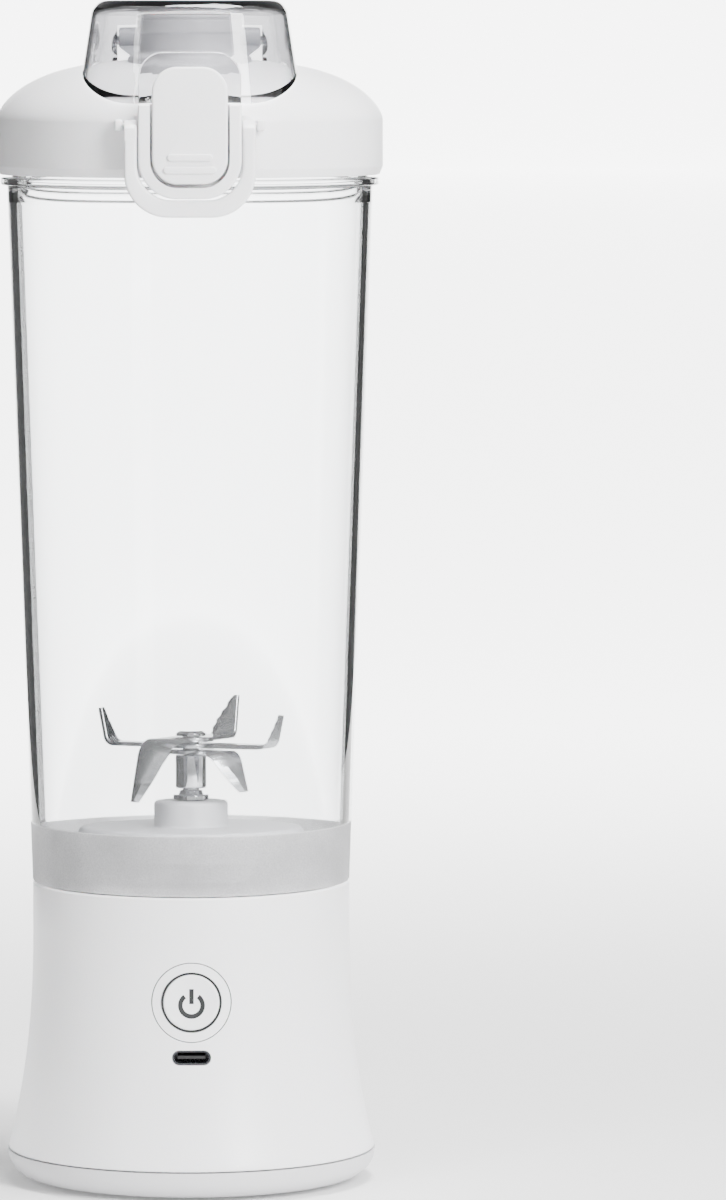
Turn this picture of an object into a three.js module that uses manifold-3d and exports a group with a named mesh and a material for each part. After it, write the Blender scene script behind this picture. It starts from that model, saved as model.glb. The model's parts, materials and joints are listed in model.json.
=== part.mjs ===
// A portable blender: a flared motor base, a clear tapered cup with a frosted collar, and a
// domed lid with a sprung, button-released flip cap over a drinking spout.
// Millimetres, +Z up, the front (button side) faces -Y, and the origin is the centre of the foot pad.

import * as THREE from 'three';
import { mergeVertices } from 'three/addons/utils/BufferGeometryUtils.js';
import Module from 'manifold-3d';

const wasm = await Module();
wasm.setup();

// ---------------------------------------------------------------- driving dimensions

const GAP = 0.3; // clearance between pieces that touch
const HAIR = 0.01; // keeps a rounded corner just short of a full half circle
const FAR = 400; // longer than the blender, for tools that cut right through
const BIG_TURN = 28; // facets round the large shells
const MID_TURN = 16; // facets round the motor, cells and seat details
const SMALL_TURN = 8; // facets round pins, screws and bores
const CURVE = 4; // facets in each rounded corner of a plate

const BASE = {
  waistR: 38.3, maxR: 44.5, wall: 2.2, seamZ: 7.2, flareTopZ: 61.8, topZ: 72, flareExponent: 2.35,
  flareSteps: 6, flareSpread: 1.3, lipR: 35.3, lipThickness: 1.8, round: 0.3, inside: 30,
};
const CAP_BOTTOM = { bottomZ: 0.6, edgeR: 6.6, edgeSteps: 5, floorTop: 3.6, spigotR: 41, spigotWall: 1.6,
  spigotTop: 10.5 };
const PAD = { radius: 30, top: 1.3, round: 0.6, recess: 1.0 };
const POST = { radial: 34.2, radius: 3.2, bottomZ: 7.9, ribBottomZ: 11.5, topZ: 26,
  ribHalf: 1.1, wallSetback: 0.6, holeStop: 2, angles: [90, 210, 330] };
const BOTTOM_SCREW = { headR: 2.7, headLow: 0.9, headTop: 2.1, recessTop: 2.4, shankR: 1.3, topZ: 16, pointZ: 17,
  holeR: 1.7 };

const SEAT = {
  flangeR: 35.9, flangeBottomZ: 67.9, flangeTopZ: 69.9, neckR: 35, neckInnerR: 32.8, neckTopZ: 83.5,
  deckZ: 72, platformR: 27.2, platformZ: 86.7, edge: 0.7, bossR: 8.9, bossZ: 93, wall: 2,
  bearingBoreR: 6.65, boreTopZ: 91.6, topHoleR: 3.4, tubeBottomZ: 75.6,
  postR: 3, postRadial: 19.5, postBottomZ: 59.6, pilotDepth: 8, pilotSlack: 0.15,
  threadTurns: 2, threadStart: 3, threadPitch: 4.4, threadDepth: 0.55, threadH: 1.4,
};
const GASKET = { inner: 35.5, outer: 36.8, bottomZ: 72.3, topZ: 73.5 };
const BEARING = { outer: 6.5, bore: 2.15, height: 4.5, lowerZ: 77, upperZ: 84.6 };
const SHAFT_SEAL = { outer: 6.45, bore: 2.1, lipH: 0.5, undercut: 1.2, bottomZ: 89.6, topZ: 91.3 };
const RETAINER = { baseR: 4.3, neckR: 3, tipR: 2.6, bore: 2.15, bottomZ: 93.3, stepZ: 94.5, topZ: 95.6 };

const MOTOR = {
  radius: 14, wall: 1.2, bottomZ: 17.3, topZ: 57, bellH: 3.2, bellRim: 1.6, bossR: 4.6, bossTop: 58.6, holeR: 1.7,
  magnetOuter: 12.5, magnetInner: 10.4, magnetLow: 23, magnetHigh: 50, magnetHalfAngle: 62,
};
const ARMATURE = { radius: 9.8, lowZ: 25, highZ: 48, bevel: 2, shaftR: 1.2, shaftLow: 17.5, shaftHigh: 68,
  commR: 3.4, commLow: 19.6, commHigh: 24 };
const MOTOR_PLATE = { radius: 24.4, halfW: 12, bottomZ: 57.3, topZ: 59.3, bossHoleR: 5, screwRadial: 8.5, holeR: 1.5 };
const SMALL_SCREW = { headR: 2.2, headH: 1.3, headRound: 0.4, shankR: 1.05, motorLength: 1.8, plateLength: 7,
  lift: 0.1 };
const COUPLING = { radius: 4.6, bottomZ: 62.4, topZ: 73.8, motorBore: 1.35, shaftBore: 2.15, splitZ: 68.4 };

const SHAFT = { radius: 1.95, bottomZ: 68.8, topZ: 109.4, bevel: 0.4 };
const SLEEVE = { radius: 3.7, bottomZ: 96, topZ: 104.1 };
const BLADE = {
  thickness: 1.0, hubR: 5.6, boreR: 2.1, lowerZ: 104.4, pitchZ: 1.5, steps: 12, narrowPower: 1.6,
  nutR: 3.6, nutZ: 108.7, nutTop: 109.3, nutDomeR: 2.7, nutRoof: 109.55, domeTop: 109.9,
};
// one row for each arm: azimuth, flat reach, bend radius, bend angle (+ up), length past the bend, width at
// the root and just past the bend, how sharply it narrows, and which side (+1 or -1) keeps its full width
const ARMS = {
  blade_lower: [
    { azimuth: -52, reach: 11, bendR: 3, bend: -70, tip: 7.6, root: 9, mid: 8.6, narrowing: 1.5, side: 1 },
    { azimuth: 128, reach: 11, bendR: 3, bend: -70, tip: 7.6, root: 9, mid: 8.6, narrowing: 1.5, side: 1 },
  ],
  blade_middle: [
    { azimuth: 152, reach: 19.6, bendR: 2, bend: 78, tip: 7.2, root: 7.6, mid: 7.4, narrowing: 1.4, side: 1 },
    { azimuth: -28, reach: 19.6, bendR: 2, bend: 78, tip: 6, root: 7.6, mid: 7.4, narrowing: 1.4, side: 1 },
  ],
  blade_top: [
    { azimuth: 62, reach: 14.6, bendR: 1.8, bend: 80, tip: 8.4, root: 8, mid: 7.6, narrowing: 1.6, side: -1 },
    { azimuth: 236, reach: 11, bendR: 5, bend: -74, tip: 11.2, root: 9.4, mid: 8.8, narrowing: 1.6, side: -1 },
  ],
};

const CELL = { radius: 9.15, round: 0.5, spacing: 26.2, bottomZ: 6.4, topZ: 54.4, nubR: 3, nubTop: 55.4, y: 2 };
const TRAY = { bottomZ: 3.9, floorZ: 5.4, wallTop: 12, cupR: 9.45, cupWall: 1.2, barHalf: 7, passageHalf: 4 };
const LINK = { halfLength: 30, halfWidth: 3, bottomZ: 5.7, thickness: 0.4 };

const BOARD = { halfWidth: 13, lowZ: 26.5, highZ: 58, front: -30.9, back: -29.3 };
const BUTTON = {
  z: 47.3, holeR: 9.55, bezelR: 9.3, bezelInner: 7.75, bezelBack: -36.4, ringOuter: 7.5, ringInner: 6.85,
  ringFront: -38.05, ringBack: -36.6, capR: 6.55, rimFront: -38.45, capBack: -36.9,
  dish: 0.5, dishHalfway: 0.375, rimWidth: 0.5, rimRound: 0.3, stemR: 1.9, stemBack: -35.2,
};
const SWITCH = { half: 3, front: -34.3, back: -31.2, pocketR: 1.85, pocketEnd: -31.6, plungerR: 1.5,
  plungerFront: -34.9, plungerBack: -32.7 };
const PORT = {
  z: 34.2, openHalfW: 4.65, openHalfH: 1.8, shellHalfW: 4.45, shellHalfH: 1.6, wall: 0.3,
  mouth: -38.9, back: -31.2, floor: -32, tongueHalfW: 3.3, tongueHalfH: 0.35, tongueFront: -38.2, tongueBack: -32.4,
};

const CUP = {
  bottomZ: 72.5, footR: 38.3, round: 0.3, wall: 2.2, innerShoulder: 4, rimR: 43.9, rimZ: 240.3, rebateR: 37.2, rebateZ: 73.9,
  beadR: 45.5, beadTop: 242.2, neckR: 42.8, neckInner: 40.9, neckTop: 253.6,
};

const LID = {
  radius: 46.4, bottomZ: 242.8, chamfer: 0.8, chamferTop: 244.8, skirtInner: 43.7, shoulderZ: 255.8,
  domeH: 14.4, domeR: 46.4, domePower: 3.3, domeRoot: 1.6, domeSpread: 1.25,
  wall: 2.4, ceilingZ: 256.4, domeSteps: 8, innerSteps: 6, innerTopZ: 254.4, cutterLowZ: 243.8,
};
const LID_GASKET = { outer: 43.4, inner: 40.9, bottomZ: 254, topZ: 255.4 };
const SPOUT = {
  y: -12, tubeR: 10.5, bore: 9.6, tubeBottom: 264.5, shankR: 12.2, lipR: 12.6, lipZ: 276.8, topZ: 281.5,
  baseR: 15, baseTop: 271.4, round: 0.6, lipRound: 0.8, holeR: 10.85, startZ: 267,
};

const FRONT = { // the stack of front-plate pieces, as y depths
  boss: -50.6, bossBack: -41, arch: -50.4, button: -51.2, buttonBack: -49, rib: -51.9,
  loop: -50.3, loopBack: -47, pocketFloor: -46.6,
};
const BOSS = { halfW: 12.1, innerHalfW: 9.35, bottomZ: 238, innerBottomZ: 240.6, topZ: 260.1, cornerR: 9.1,
  innerCornerR: 6.5, flangeClearR: 46.2, roomY: -43.9, roomZ: 258.1 };
const RELEASE = {
  halfW: 8.85, bottomZ: 241.5, topZ: 268.9, cornerR: 5.9, pivotY: -47.4, pivotZ: 262.5,
  lugLow: 4.2, lugHigh: 6.1, lugR: 1.9, lugHoleR: 0.95, noseHalf: 3, noseLow: 266, noseHigh: 267.3, noseTip: 0.5,
  noseBack: -45.5, overlap: 0.5,
  ribs: [{ z: 247.75, half: 5.3 }, { z: 244.8, half: 6.2 }], ribHalfH: 0.85,
};
const RELEASE_PIN = { radius: 0.8, halfLength: 8.4 };
const EAR = { low: 6.5, high: 8.4, front: -47.8, back: -44.9, bottomZ: 256, radius: 1.35, holeR: 0.95 };
const COIL = { wire: 0.25, radius: 1.35, halfLength: 3.4, turns: 4, stepsPerTurn: 8 };

const LOOP = {
  halfW: 15.4, innerHalfW: 12.4, bottomZ: 233.7, innerBottomZ: 237.7, cornerR: 12.4, innerCornerR: 8.6,
  pivotY: -45.9, pivotZ: 255.2, earR: 1.4, shoulderH: 3, frontTopZ: 254.6, frontRise: 0.9, pinR: 0.55,
  pinStart: 14.4, pinEnd: 17.3, pocketFront: -48, pocketBack: -44, pocketLow: 253, pocketHigh: 257.4,
};
const LOOP_LUG = { low: 15.75, high: 17.6, halfH: 1.35, front: -47.2, back: -40, holeR: 0.75, holeStart: 14,
  holeEnd: 17.5 };

const CAP = { // the flip cap
  halfW: 26.4, frontCentre: -18, frontReach: 25.6, frontPower: 2.8, rearCentre: 10, rearReach: 24, rearPower: 4,
  bottomZ: 252, baseZ: 262, topZ: 284.4, edge: 3.4, innerEdge: 2, edgeSteps: 3, wall: 1.8, taper: 0.0058,
  skirtGap: 0.45, skirtZ: 260.2, halfSteps: 12, hingeY: 30, hingeZ: 274.5, trimY: 29, trimZ: 270.4,
  notchHalf: 19, notchY: 26, notchTop: 278.2, earLow: 19, earR: 4, earInset: 0.2, pinHoleR: 1.3,
};
const ARCH = { halfW: 12, innerHalfW: 10, bottomZ: 260.4, topZ: 272.4, innerTopZ: 269.9, cornerR: 9, innerCornerR: 7,
  back: -40, tunnelBack: -44.2 };
const LEDGE = { halfW: 4, low: 264.4, high: 265.4, front: -44.85, back: -42.5 };
const CAP_SEAL = { flangeR: 12.2, flangeBottom: 281.8, flangeTop: 282.3, plugR: 8.7, bore: 6.8, plugBottom: 279.8 };
const BRACKET = { half: 18.7, footHalf: 14, knuckleR: 3.2, front: 21.5, armFront: 26.5, back: 31, bottomZ: 262,
  flareZ: 270, footTop: 270.5, sideZ: 273, topZ: 279, springHalf: 4.6, holeR: 1.3, springGapR: 3.6 };
const HINGE_PIN = { radius: 1.1, halfLength: 20.1 };
const HINGE_SPRING = { wire: 0.4, radius: 2.05, halfLength: 4, turns: 4, stepsPerTurn: 8 };

// ---------------------------------------------------------------- finishes

const finish = (colour, roughness, metalness = 0, opacity = 1) =>
  new THREE.MeshStandardMaterial({ color: colour, roughness, metalness, opacity, transparent: opacity < 1 });

const FINISH = {
  shell: () => finish('#f1f1f1', 0.45),
  underside: () => finish('#c9c9cb', 0.5),
  seat: () => finish('#d4d4d5', 0.5),
  clear: () => finish('#f4f6f7', 0.05, 0, 0.3),
  smoke: () => finish('#b9bcc0', 0.08, 0, 0.45),
  silicone: () => finish('#dcdcdc', 0.7),
  dark: () => finish('#26272a', 0.4),
  grey: () => finish('#6b6c70', 0.5),
  steel: () => finish('#b8babd', 0.25, 1),
  chrome: () => finish('#d8dadd', 0.1, 1),
  brass: () => finish('#c9b27c', 0.35, 1),
  board: () => finish('#1d5a3a', 0.55),
  cell: () => finish('#3f8fc9', 0.4),
  magnet: () => finish('#3a3b3e', 0.6),
};

// ---------------------------------------------------------------- small tools

/** The geometry as one closed skin: position only, shared vertices, no collapsed triangles, facing out. */
function skin(geometry) {
  const bare = new THREE.BufferGeometry();
  bare.setAttribute('position', geometry.getAttribute('position').clone());
  if (geometry.index) bare.setIndex(geometry.index.clone());
  const merged = mergeVertices(bare, 1e-4);
  const corner = merged.index.array;
  const kept = [];
  for (let i = 0; i < corner.length; i += 3) {
    const [a, b, c] = [corner[i], corner[i + 1], corner[i + 2]];
    if (a !== b && b !== c && c !== a) kept.push(a, b, c);
  }
  merged.setIndex(kept);
  return facingOut(merged);
}

/** The same skin, turned right side out if its signed volume is negative. */
function facingOut(geometry) {
  const place = geometry.getAttribute('position');
  const index = Array.from(geometry.index.array);
  const [a, b, c] = [new THREE.Vector3(), new THREE.Vector3(), new THREE.Vector3()];
  let volume = 0;
  for (let i = 0; i < index.length; i += 3) {
    a.fromBufferAttribute(place, index[i]);
    b.fromBufferAttribute(place, index[i + 1]);
    c.fromBufferAttribute(place, index[i + 2]);
    volume += a.dot(b.cross(c));
  }
  if (volume < 0) index.reverse();
  geometry.setIndex(index);
  return geometry;
}

const solid = (geometry) => {
  const closed = skin(geometry);
  return new wasm.Manifold(new wasm.Mesh({
    numProp: 3,
    vertProperties: new Float32Array(closed.getAttribute('position').array),
    triVerts: new Uint32Array(closed.index.array),
  }));
};

const geometryOf = (manifold) => {
  const { numProp, vertProperties, triVerts } = manifold.getMesh();
  const position = new Float32Array((vertProperties.length / numProp) * 3);
  for (let i = 0; i * numProp < vertProperties.length; i++)
    for (let axis = 0; axis < 3; axis++) position[i * 3 + axis] = vertProperties[i * numProp + axis];
  const geometry = new THREE.BufferGeometry();
  geometry.setAttribute('position', new THREE.BufferAttribute(position, 3));
  geometry.setIndex(Array.from(triVerts));
  return geometry;
};

const join = (...pieces) => geometryOf(pieces.map(solid).reduce((all, next) => all.add(next)));
const cut = (piece, ...tools) =>
  geometryOf(tools.map(solid).reduce((left, tool) => left.subtract(tool), solid(piece)));
const keep = (piece, region) => geometryOf(solid(piece).intersect(solid(region)));

const radians = THREE.MathUtils.degToRad;
const vector = (x, y) => new THREE.Vector2(x, y);

/** A body of revolution about Z from a profile of [radius, z] points that starts and ends on the axis. */
const turned = (profile, facets = BIG_TURN) =>
  new THREE.LatheGeometry(profile.map(([r, z]) => vector(r, z)), facets).rotateX(Math.PI / 2);

/** A ring about Z from a profile of [radius, z] points, closed on its first point. */
const ringOf = (profile, facets = BIG_TURN) => turned([...profile, profile[0]], facets);

const ring = (outer, inner, low, high, facets = BIG_TURN) =>
  ringOf([[outer, low], [outer, high], [inner, high], [inner, low]], facets);

const rod = (radius, low, high, facets = SMALL_TURN) =>
  new THREE.CylinderGeometry(radius, radius, high - low, facets)
    .rotateX(Math.PI / 2).translate(0, 0, (low + high) / 2);

/** A cylinder along X, from x = low to x = high, about the line y, z. */
const rodX = (radius, low, high, y, z, facets = SMALL_TURN) =>
  rod(radius, low, high, facets).rotateY(Math.PI / 2).translate(0, y, z);

/** A cylinder along Y, from y = low to y = high, about the line x, z. */
const rodY = (radius, low, high, x, z, facets = SMALL_TURN) =>
  rod(radius, low, high, facets).rotateX(-Math.PI / 2).translate(x, 0, z);

const slab = (x0, x1, y0, y1, z0, z1) =>
  new THREE.BoxGeometry(x1 - x0, y1 - y0, z1 - z0)
    .translate((x0 + x1) / 2, (y0 + y1) / 2, (z0 + z1) / 2);

/** A shape drawn in x and z, made solid from y = front to y = back. */
const plateFront = (shape, front, back, curveSegments = CURVE) =>
  new THREE.ExtrudeGeometry(shape, { depth: back - front, bevelEnabled: false, curveSegments })
    .rotateX(Math.PI / 2).translate(0, back, 0);

/** A shape drawn in y and z, made solid from x = low to x = high. */
const plateSide = (shape, low, high, curveSegments = CURVE) =>
  new THREE.ExtrudeGeometry(shape, { depth: high - low, bevelEnabled: false, curveSegments })
    .applyMatrix4(new THREE.Matrix4().makeBasis(
      new THREE.Vector3(0, 1, 0), new THREE.Vector3(0, 0, 1), new THREE.Vector3(1, 0, 0)))
    .translate(low, 0, 0);

/** A rectangle with its two lower corners, and its two upper ones if topR is given, rounded. */
function roundedPlate(halfW, low, high, bottomR, topR = 0) {
  const shape = new THREE.Shape();
  shape.moveTo(-halfW, low + bottomR);
  shape.absarc(-halfW + bottomR, low + bottomR, bottomR, Math.PI, 1.5 * Math.PI, false);
  shape.absarc(halfW - bottomR, low + bottomR, bottomR, 1.5 * Math.PI, 2 * Math.PI, false);
  if (topR > 0) {
    shape.absarc(halfW - topR, high - topR, topR, 0, 0.5 * Math.PI, false);
    shape.absarc(-halfW + topR, high - topR, topR, 0.5 * Math.PI, Math.PI, false);
  } else {
    shape.lineTo(halfW, high);
    shape.lineTo(-halfW, high);
  }
  shape.closePath();
  return shape;
}

const polygon = (points) => new THREE.Shape(points.map(([x, y]) => vector(x, y)));
const both = (make) => [make(1), make(-1)];

/** A geometry turned by an azimuth about Z. */
const at = (geometry, azimuth) => geometry.rotateZ(radians(azimuth));

const model = new THREE.Group();

function add(name, geometry, material) {
  const mesh = new THREE.Mesh(skin(geometry), material);
  mesh.name = name;
  model.add(mesh);
}

// ---------------------------------------------------------------- motor base

/** Outer radius of the base at height z: straight at the waist, flaring to the foot. */
function baseRadius(z) {
  const share = Math.max(0, (BASE.flareTopZ - z) / (BASE.flareTopZ - BASE.seamZ));
  return BASE.waistR + (BASE.maxR - BASE.waistR) * share ** BASE.flareExponent;
}

const flareHeights = (low) => Array.from({ length: BASE.flareSteps + 1 },
  (_, i) => low + (BASE.flareTopZ - low) * (i / BASE.flareSteps) ** BASE.flareSpread);

/** The base's outer volume, used to trim what is set into its wall. */
const baseVolume = (shrink = 0) => turned([
  [0, BASE.seamZ + GAP],
  ...flareHeights(BASE.seamZ + GAP).map((z) => [baseRadius(z) - shrink, z]),
  [BASE.waistR - shrink, BASE.topZ], [0, BASE.topZ],
]);

const portOutline = (halfW, halfH) => roundedPlate(halfW, PORT.z - halfH, PORT.z + halfH, halfH - HAIR, halfH - HAIR);

function baseShell() {
  const low = BASE.seamZ + GAP;
  const heights = flareHeights(low);
  const wall = ringOf([
    ...heights.map((z) => [baseRadius(z), z]),
    [BASE.waistR, BASE.topZ - BASE.round], [BASE.waistR - BASE.round, BASE.topZ],
    [BASE.lipR, BASE.topZ], [BASE.lipR, BASE.topZ - BASE.lipThickness],
    [BASE.waistR - BASE.wall, BASE.topZ - BASE.lipThickness],
    ...heights.slice().reverse().map((z) => [baseRadius(z) - BASE.wall, z]),
  ]);
  const posts = POST.angles.map((angle) => at(join(
    rod(POST.radius, POST.bottomZ, POST.topZ).translate(POST.radial, 0, 0),
    slab(POST.radial, BASE.maxR, -POST.ribHalf, POST.ribHalf, POST.ribBottomZ, POST.topZ),
  ), angle));
  const screwHoles = POST.angles.map((angle) =>
    at(rod(BOTTOM_SCREW.holeR, 0, POST.topZ - POST.holeStop).translate(POST.radial, 0, 0), angle));
  return cut(
    join(wall, ...posts.map((post) => keep(post, baseVolume(POST.wallSetback)))),
    ...screwHoles,
    rodY(BUTTON.holeR, -BASE.maxR, -BASE.inside, 0, BUTTON.z, MID_TURN),
    plateFront(portOutline(PORT.openHalfW, PORT.openHalfH), -BASE.maxR, -BASE.inside),
  );
}

/** The shallow bottom cap: a rounded edge, a floor with a pad recess, and a spigot inside the shell. */
function bottomCap() {
  const { bottomZ, edgeR, edgeSteps, floorTop, spigotR, spigotWall, spigotTop } = CAP_BOTTOM;
  const edge = Array.from({ length: edgeSteps + 1 }, (_, i) => {
    const turn = radians(-90 + i * 90 / edgeSteps);
    return [BASE.maxR - edgeR + edgeR * Math.cos(turn), bottomZ + edgeR + edgeR * Math.sin(turn)];
  });
  const cap = turned([
    [0, bottomZ + PAD.recess], [PAD.radius + GAP, bottomZ + PAD.recess], [PAD.radius + GAP, bottomZ],
    ...edge, [spigotR, BASE.seamZ], [spigotR, spigotTop], [spigotR - spigotWall, spigotTop],
    [spigotR - spigotWall, floorTop], [0, floorTop],
  ]);
  const holes = POST.angles.flatMap((angle) => [
    at(rod(BOTTOM_SCREW.holeR, 0, spigotTop).translate(POST.radial, 0, 0), angle),
    at(rod(BOTTOM_SCREW.headR + GAP, 0, BOTTOM_SCREW.recessTop).translate(POST.radial, 0, 0), angle),
  ]);
  return cut(cap, ...holes);
}

const footPad = () => turned([
  [0, 0], [PAD.radius - PAD.round, 0], [PAD.radius, PAD.round], [PAD.radius, PAD.top], [0, PAD.top],
], MID_TURN);

function bottomScrew(angle) {
  const { headR, headLow, headTop, shankR, topZ, pointZ } = BOTTOM_SCREW;
  const screw = turned([[0, headLow], [headR, headLow], [headR, headTop],
    [shankR, headTop], [shankR, topZ], [0, pointZ]], SMALL_TURN);
  return at(screw.translate(POST.radial, 0, 0), angle);
}

/** The seat: deck, threaded neck, blade platform and bearing boss in one moulding. */
function bladeSeat() {
  const s = SEAT;
  const thread = Array.from({ length: s.threadTurns }, (_, i) => s.deckZ + s.threadStart + i * s.threadPitch).flatMap((z) => [
    [s.neckR, z], [s.neckR + s.threadDepth, z + s.threadH / 2], [s.neckR, z + s.threadH],
  ]);
  const body = ringOf([
    [s.flangeR, s.flangeBottomZ], [s.flangeR, s.flangeTopZ], [s.neckR, s.flangeTopZ], ...thread,
    [s.neckR, s.neckTopZ], [s.neckInnerR, s.neckTopZ], [s.neckInnerR, s.deckZ], [s.platformR, s.deckZ],
    [s.platformR, s.platformZ - s.edge], [s.platformR - s.edge, s.platformZ], [s.bossR, s.platformZ],
    [s.bossR, s.bossZ - s.edge], [s.bossR - s.edge, s.bossZ], [s.topHoleR, s.bossZ], [s.topHoleR, s.boreTopZ],
    [s.bearingBoreR, s.boreTopZ], [s.bearingBoreR, s.tubeBottomZ], [s.bossR, s.tubeBottomZ],
    [s.bossR, s.platformZ - s.wall], [s.platformR - s.wall, s.platformZ - s.wall],
    [s.platformR - s.wall, s.flangeBottomZ],
  ]);
  const posts = both((side) => rod(s.postR, s.postBottomZ, s.platformZ - s.wall / 2)
    .translate(0, side * s.postRadial, 0));
  const pilots = both((side) => rod(SMALL_SCREW.shankR + s.pilotSlack, 0, s.postBottomZ + s.pilotDepth)
    .translate(0, side * s.postRadial, 0));
  return cut(join(body, ...posts), ...pilots);
}

const neckGasket = () => ring(GASKET.outer, GASKET.inner, GASKET.bottomZ, GASKET.topZ);

const bearing = (low) => ring(BEARING.outer, BEARING.bore, low, low + BEARING.height, MID_TURN);

const shaftSeal = () => ringOf([
  [SHAFT_SEAL.outer, SHAFT_SEAL.bottomZ], [SHAFT_SEAL.outer, SHAFT_SEAL.topZ],
  [SHAFT_SEAL.bore, SHAFT_SEAL.topZ], [SHAFT_SEAL.bore, SHAFT_SEAL.topZ - SHAFT_SEAL.lipH],
  [SHAFT_SEAL.bore + SHAFT_SEAL.undercut, SHAFT_SEAL.bottomZ],
], MID_TURN);

const sealRetainer = () => ringOf([
  [RETAINER.baseR, RETAINER.bottomZ], [RETAINER.baseR, RETAINER.stepZ], [RETAINER.neckR, RETAINER.stepZ],
  [RETAINER.tipR, RETAINER.topZ], [RETAINER.bore, RETAINER.topZ], [RETAINER.bore, RETAINER.bottomZ],
], MID_TURN);

// ---------------------------------------------------------------- motor, battery and electronics

/** The motor's drawn steel can: open below, with a bearing boss and a shaft hole on top. */
const motorCan = () => ringOf([
  [MOTOR.radius, MOTOR.bottomZ], [MOTOR.radius, MOTOR.topZ], [MOTOR.bossR, MOTOR.topZ],
  [MOTOR.bossR, MOTOR.bossTop], [MOTOR.holeR, MOTOR.bossTop], [MOTOR.holeR, MOTOR.topZ - MOTOR.wall],
  [MOTOR.radius - MOTOR.wall, MOTOR.topZ - MOTOR.wall], [MOTOR.radius - MOTOR.wall, MOTOR.bottomZ],
], MID_TURN);

const motorEndBell = () => turned([
  [0, MOTOR.bottomZ - GAP - MOTOR.bellH], [MOTOR.bossR, MOTOR.bottomZ - GAP - MOTOR.bellH],
  [MOTOR.bossR, MOTOR.bottomZ - GAP - MOTOR.bellRim], [MOTOR.radius, MOTOR.bottomZ - GAP - MOTOR.bellRim],
  [MOTOR.radius, MOTOR.bottomZ - GAP], [0, MOTOR.bottomZ - GAP],
], MID_TURN);

function magnet(middle) {
  const { magnetOuter, magnetInner, magnetLow, magnetHigh, magnetHalfAngle } = MOTOR;
  const arc = new THREE.Shape();
  const [start, end] = [radians(middle - magnetHalfAngle), radians(middle + magnetHalfAngle)];
  arc.absarc(0, 0, magnetOuter, start, end, false);
  arc.absarc(0, 0, magnetInner, end, start, true);
  arc.closePath();
  return new THREE.ExtrudeGeometry(arc, { depth: magnetHigh - magnetLow, bevelEnabled: false, curveSegments: 12 })
    .translate(0, 0, magnetLow);
}

/** The wound rotor with its commutator and shaft. */
function armature() {
  const a = ARMATURE;
  return turned([
    [0, a.shaftLow], [a.shaftR, a.shaftLow], [a.shaftR, a.commLow], [a.commR, a.commLow], [a.commR, a.commHigh],
    [a.radius - a.bevel, a.lowZ], [a.radius, a.lowZ + a.bevel], [a.radius, a.highZ - a.bevel],
    [a.radius - a.bevel, a.highZ], [a.shaftR, a.highZ], [a.shaftR, a.shaftHigh], [0, a.shaftHigh],
  ], MID_TURN);
}

function motorPlate() {
  const { radius, halfW, bottomZ, topZ, bossHoleR, screwRadial, holeR } = MOTOR_PLATE;
  const plate = keep(rod(radius, bottomZ, topZ, MID_TURN),
    slab(-halfW, halfW, -radius, radius, bottomZ, topZ));
  return cut(plate, rod(bossHoleR, 0, BASE.topZ, MID_TURN),
    ...both((side) => rod(holeR, 0, BASE.topZ).translate(side * screwRadial, 0, 0)),
    ...both((side) => rod(holeR, 0, BASE.topZ).translate(0, side * SEAT.postRadial, 0)));
}

/** A pan-head screw seated at x, y, seat: head above and shank below if direction is 1, turned over if -1. */
function smallScrew(x, y, seat, direction, length) {
  const { headR, headH, headRound, shankR } = SMALL_SCREW;
  const screw = turned([[0, -length], [shankR, -length], [shankR, 0], [headR, 0], [headR, headH - headRound],
    [headR - headRound, headH], [0, headH]], SMALL_TURN);
  return (direction > 0 ? screw : screw.rotateX(Math.PI)).translate(x, y, seat);
}

/** The sleeve that joins the motor's shaft below to the blade shaft above. */
const shaftCoupling = () => ringOf([
  [COUPLING.radius, COUPLING.bottomZ], [COUPLING.radius, COUPLING.topZ], [COUPLING.shaftBore, COUPLING.topZ],
  [COUPLING.shaftBore, COUPLING.splitZ], [COUPLING.motorBore, COUPLING.splitZ],
  [COUPLING.motorBore, COUPLING.bottomZ],
], MID_TURN);

const batteryCell = (side) => turned([
  [0, CELL.bottomZ], [CELL.radius, CELL.bottomZ], [CELL.radius, CELL.topZ - CELL.round], [CELL.radius - CELL.round, CELL.topZ],
  [CELL.nubR, CELL.topZ], [CELL.nubR, CELL.nubTop], [0, CELL.nubTop],
], MID_TURN).translate(side * CELL.spacing, CELL.y, 0);

/** The tray under the cells: a bar with a shallow cup at each end. */
function batteryTray() {
  const t = TRAY;
  const cups = both((side) => rod(t.cupR + t.cupWall, t.bottomZ, t.wallTop, MID_TURN)
    .translate(side * CELL.spacing, CELL.y, 0));
  const rooms = both((side) => rod(t.cupR, t.floorZ, FAR, MID_TURN)
    .translate(side * CELL.spacing, CELL.y, 0));
  const bar = slab(-CELL.spacing, CELL.spacing, CELL.y - t.barHalf, CELL.y + t.barHalf, t.bottomZ, t.floorZ);
  const passage = slab(-CELL.spacing, CELL.spacing, CELL.y - t.passageHalf, CELL.y + t.passageHalf, t.floorZ, FAR);
  return cut(join(bar, ...cups), ...rooms, passage);
}

const batteryLink = () => slab(-LINK.halfLength, LINK.halfLength,
  CELL.y - LINK.halfWidth, CELL.y + LINK.halfWidth, LINK.bottomZ, LINK.bottomZ + LINK.thickness);

const controlBoard = () =>
  slab(-BOARD.halfWidth, BOARD.halfWidth, BOARD.front, BOARD.back, BOARD.lowZ, BOARD.highZ);

const tactSwitch = () => cut(
  slab(-SWITCH.half, SWITCH.half, SWITCH.front, SWITCH.back, BUTTON.z - SWITCH.half, BUTTON.z + SWITCH.half),
  rodY(SWITCH.pocketR, -FAR, SWITCH.pocketEnd, 0, BUTTON.z));

const usbShell = () => cut(
  plateFront(portOutline(PORT.shellHalfW, PORT.shellHalfH), PORT.mouth, PORT.back),
  plateFront(portOutline(PORT.shellHalfW - PORT.wall, PORT.shellHalfH - PORT.wall), -FAR, PORT.floor));

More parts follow.
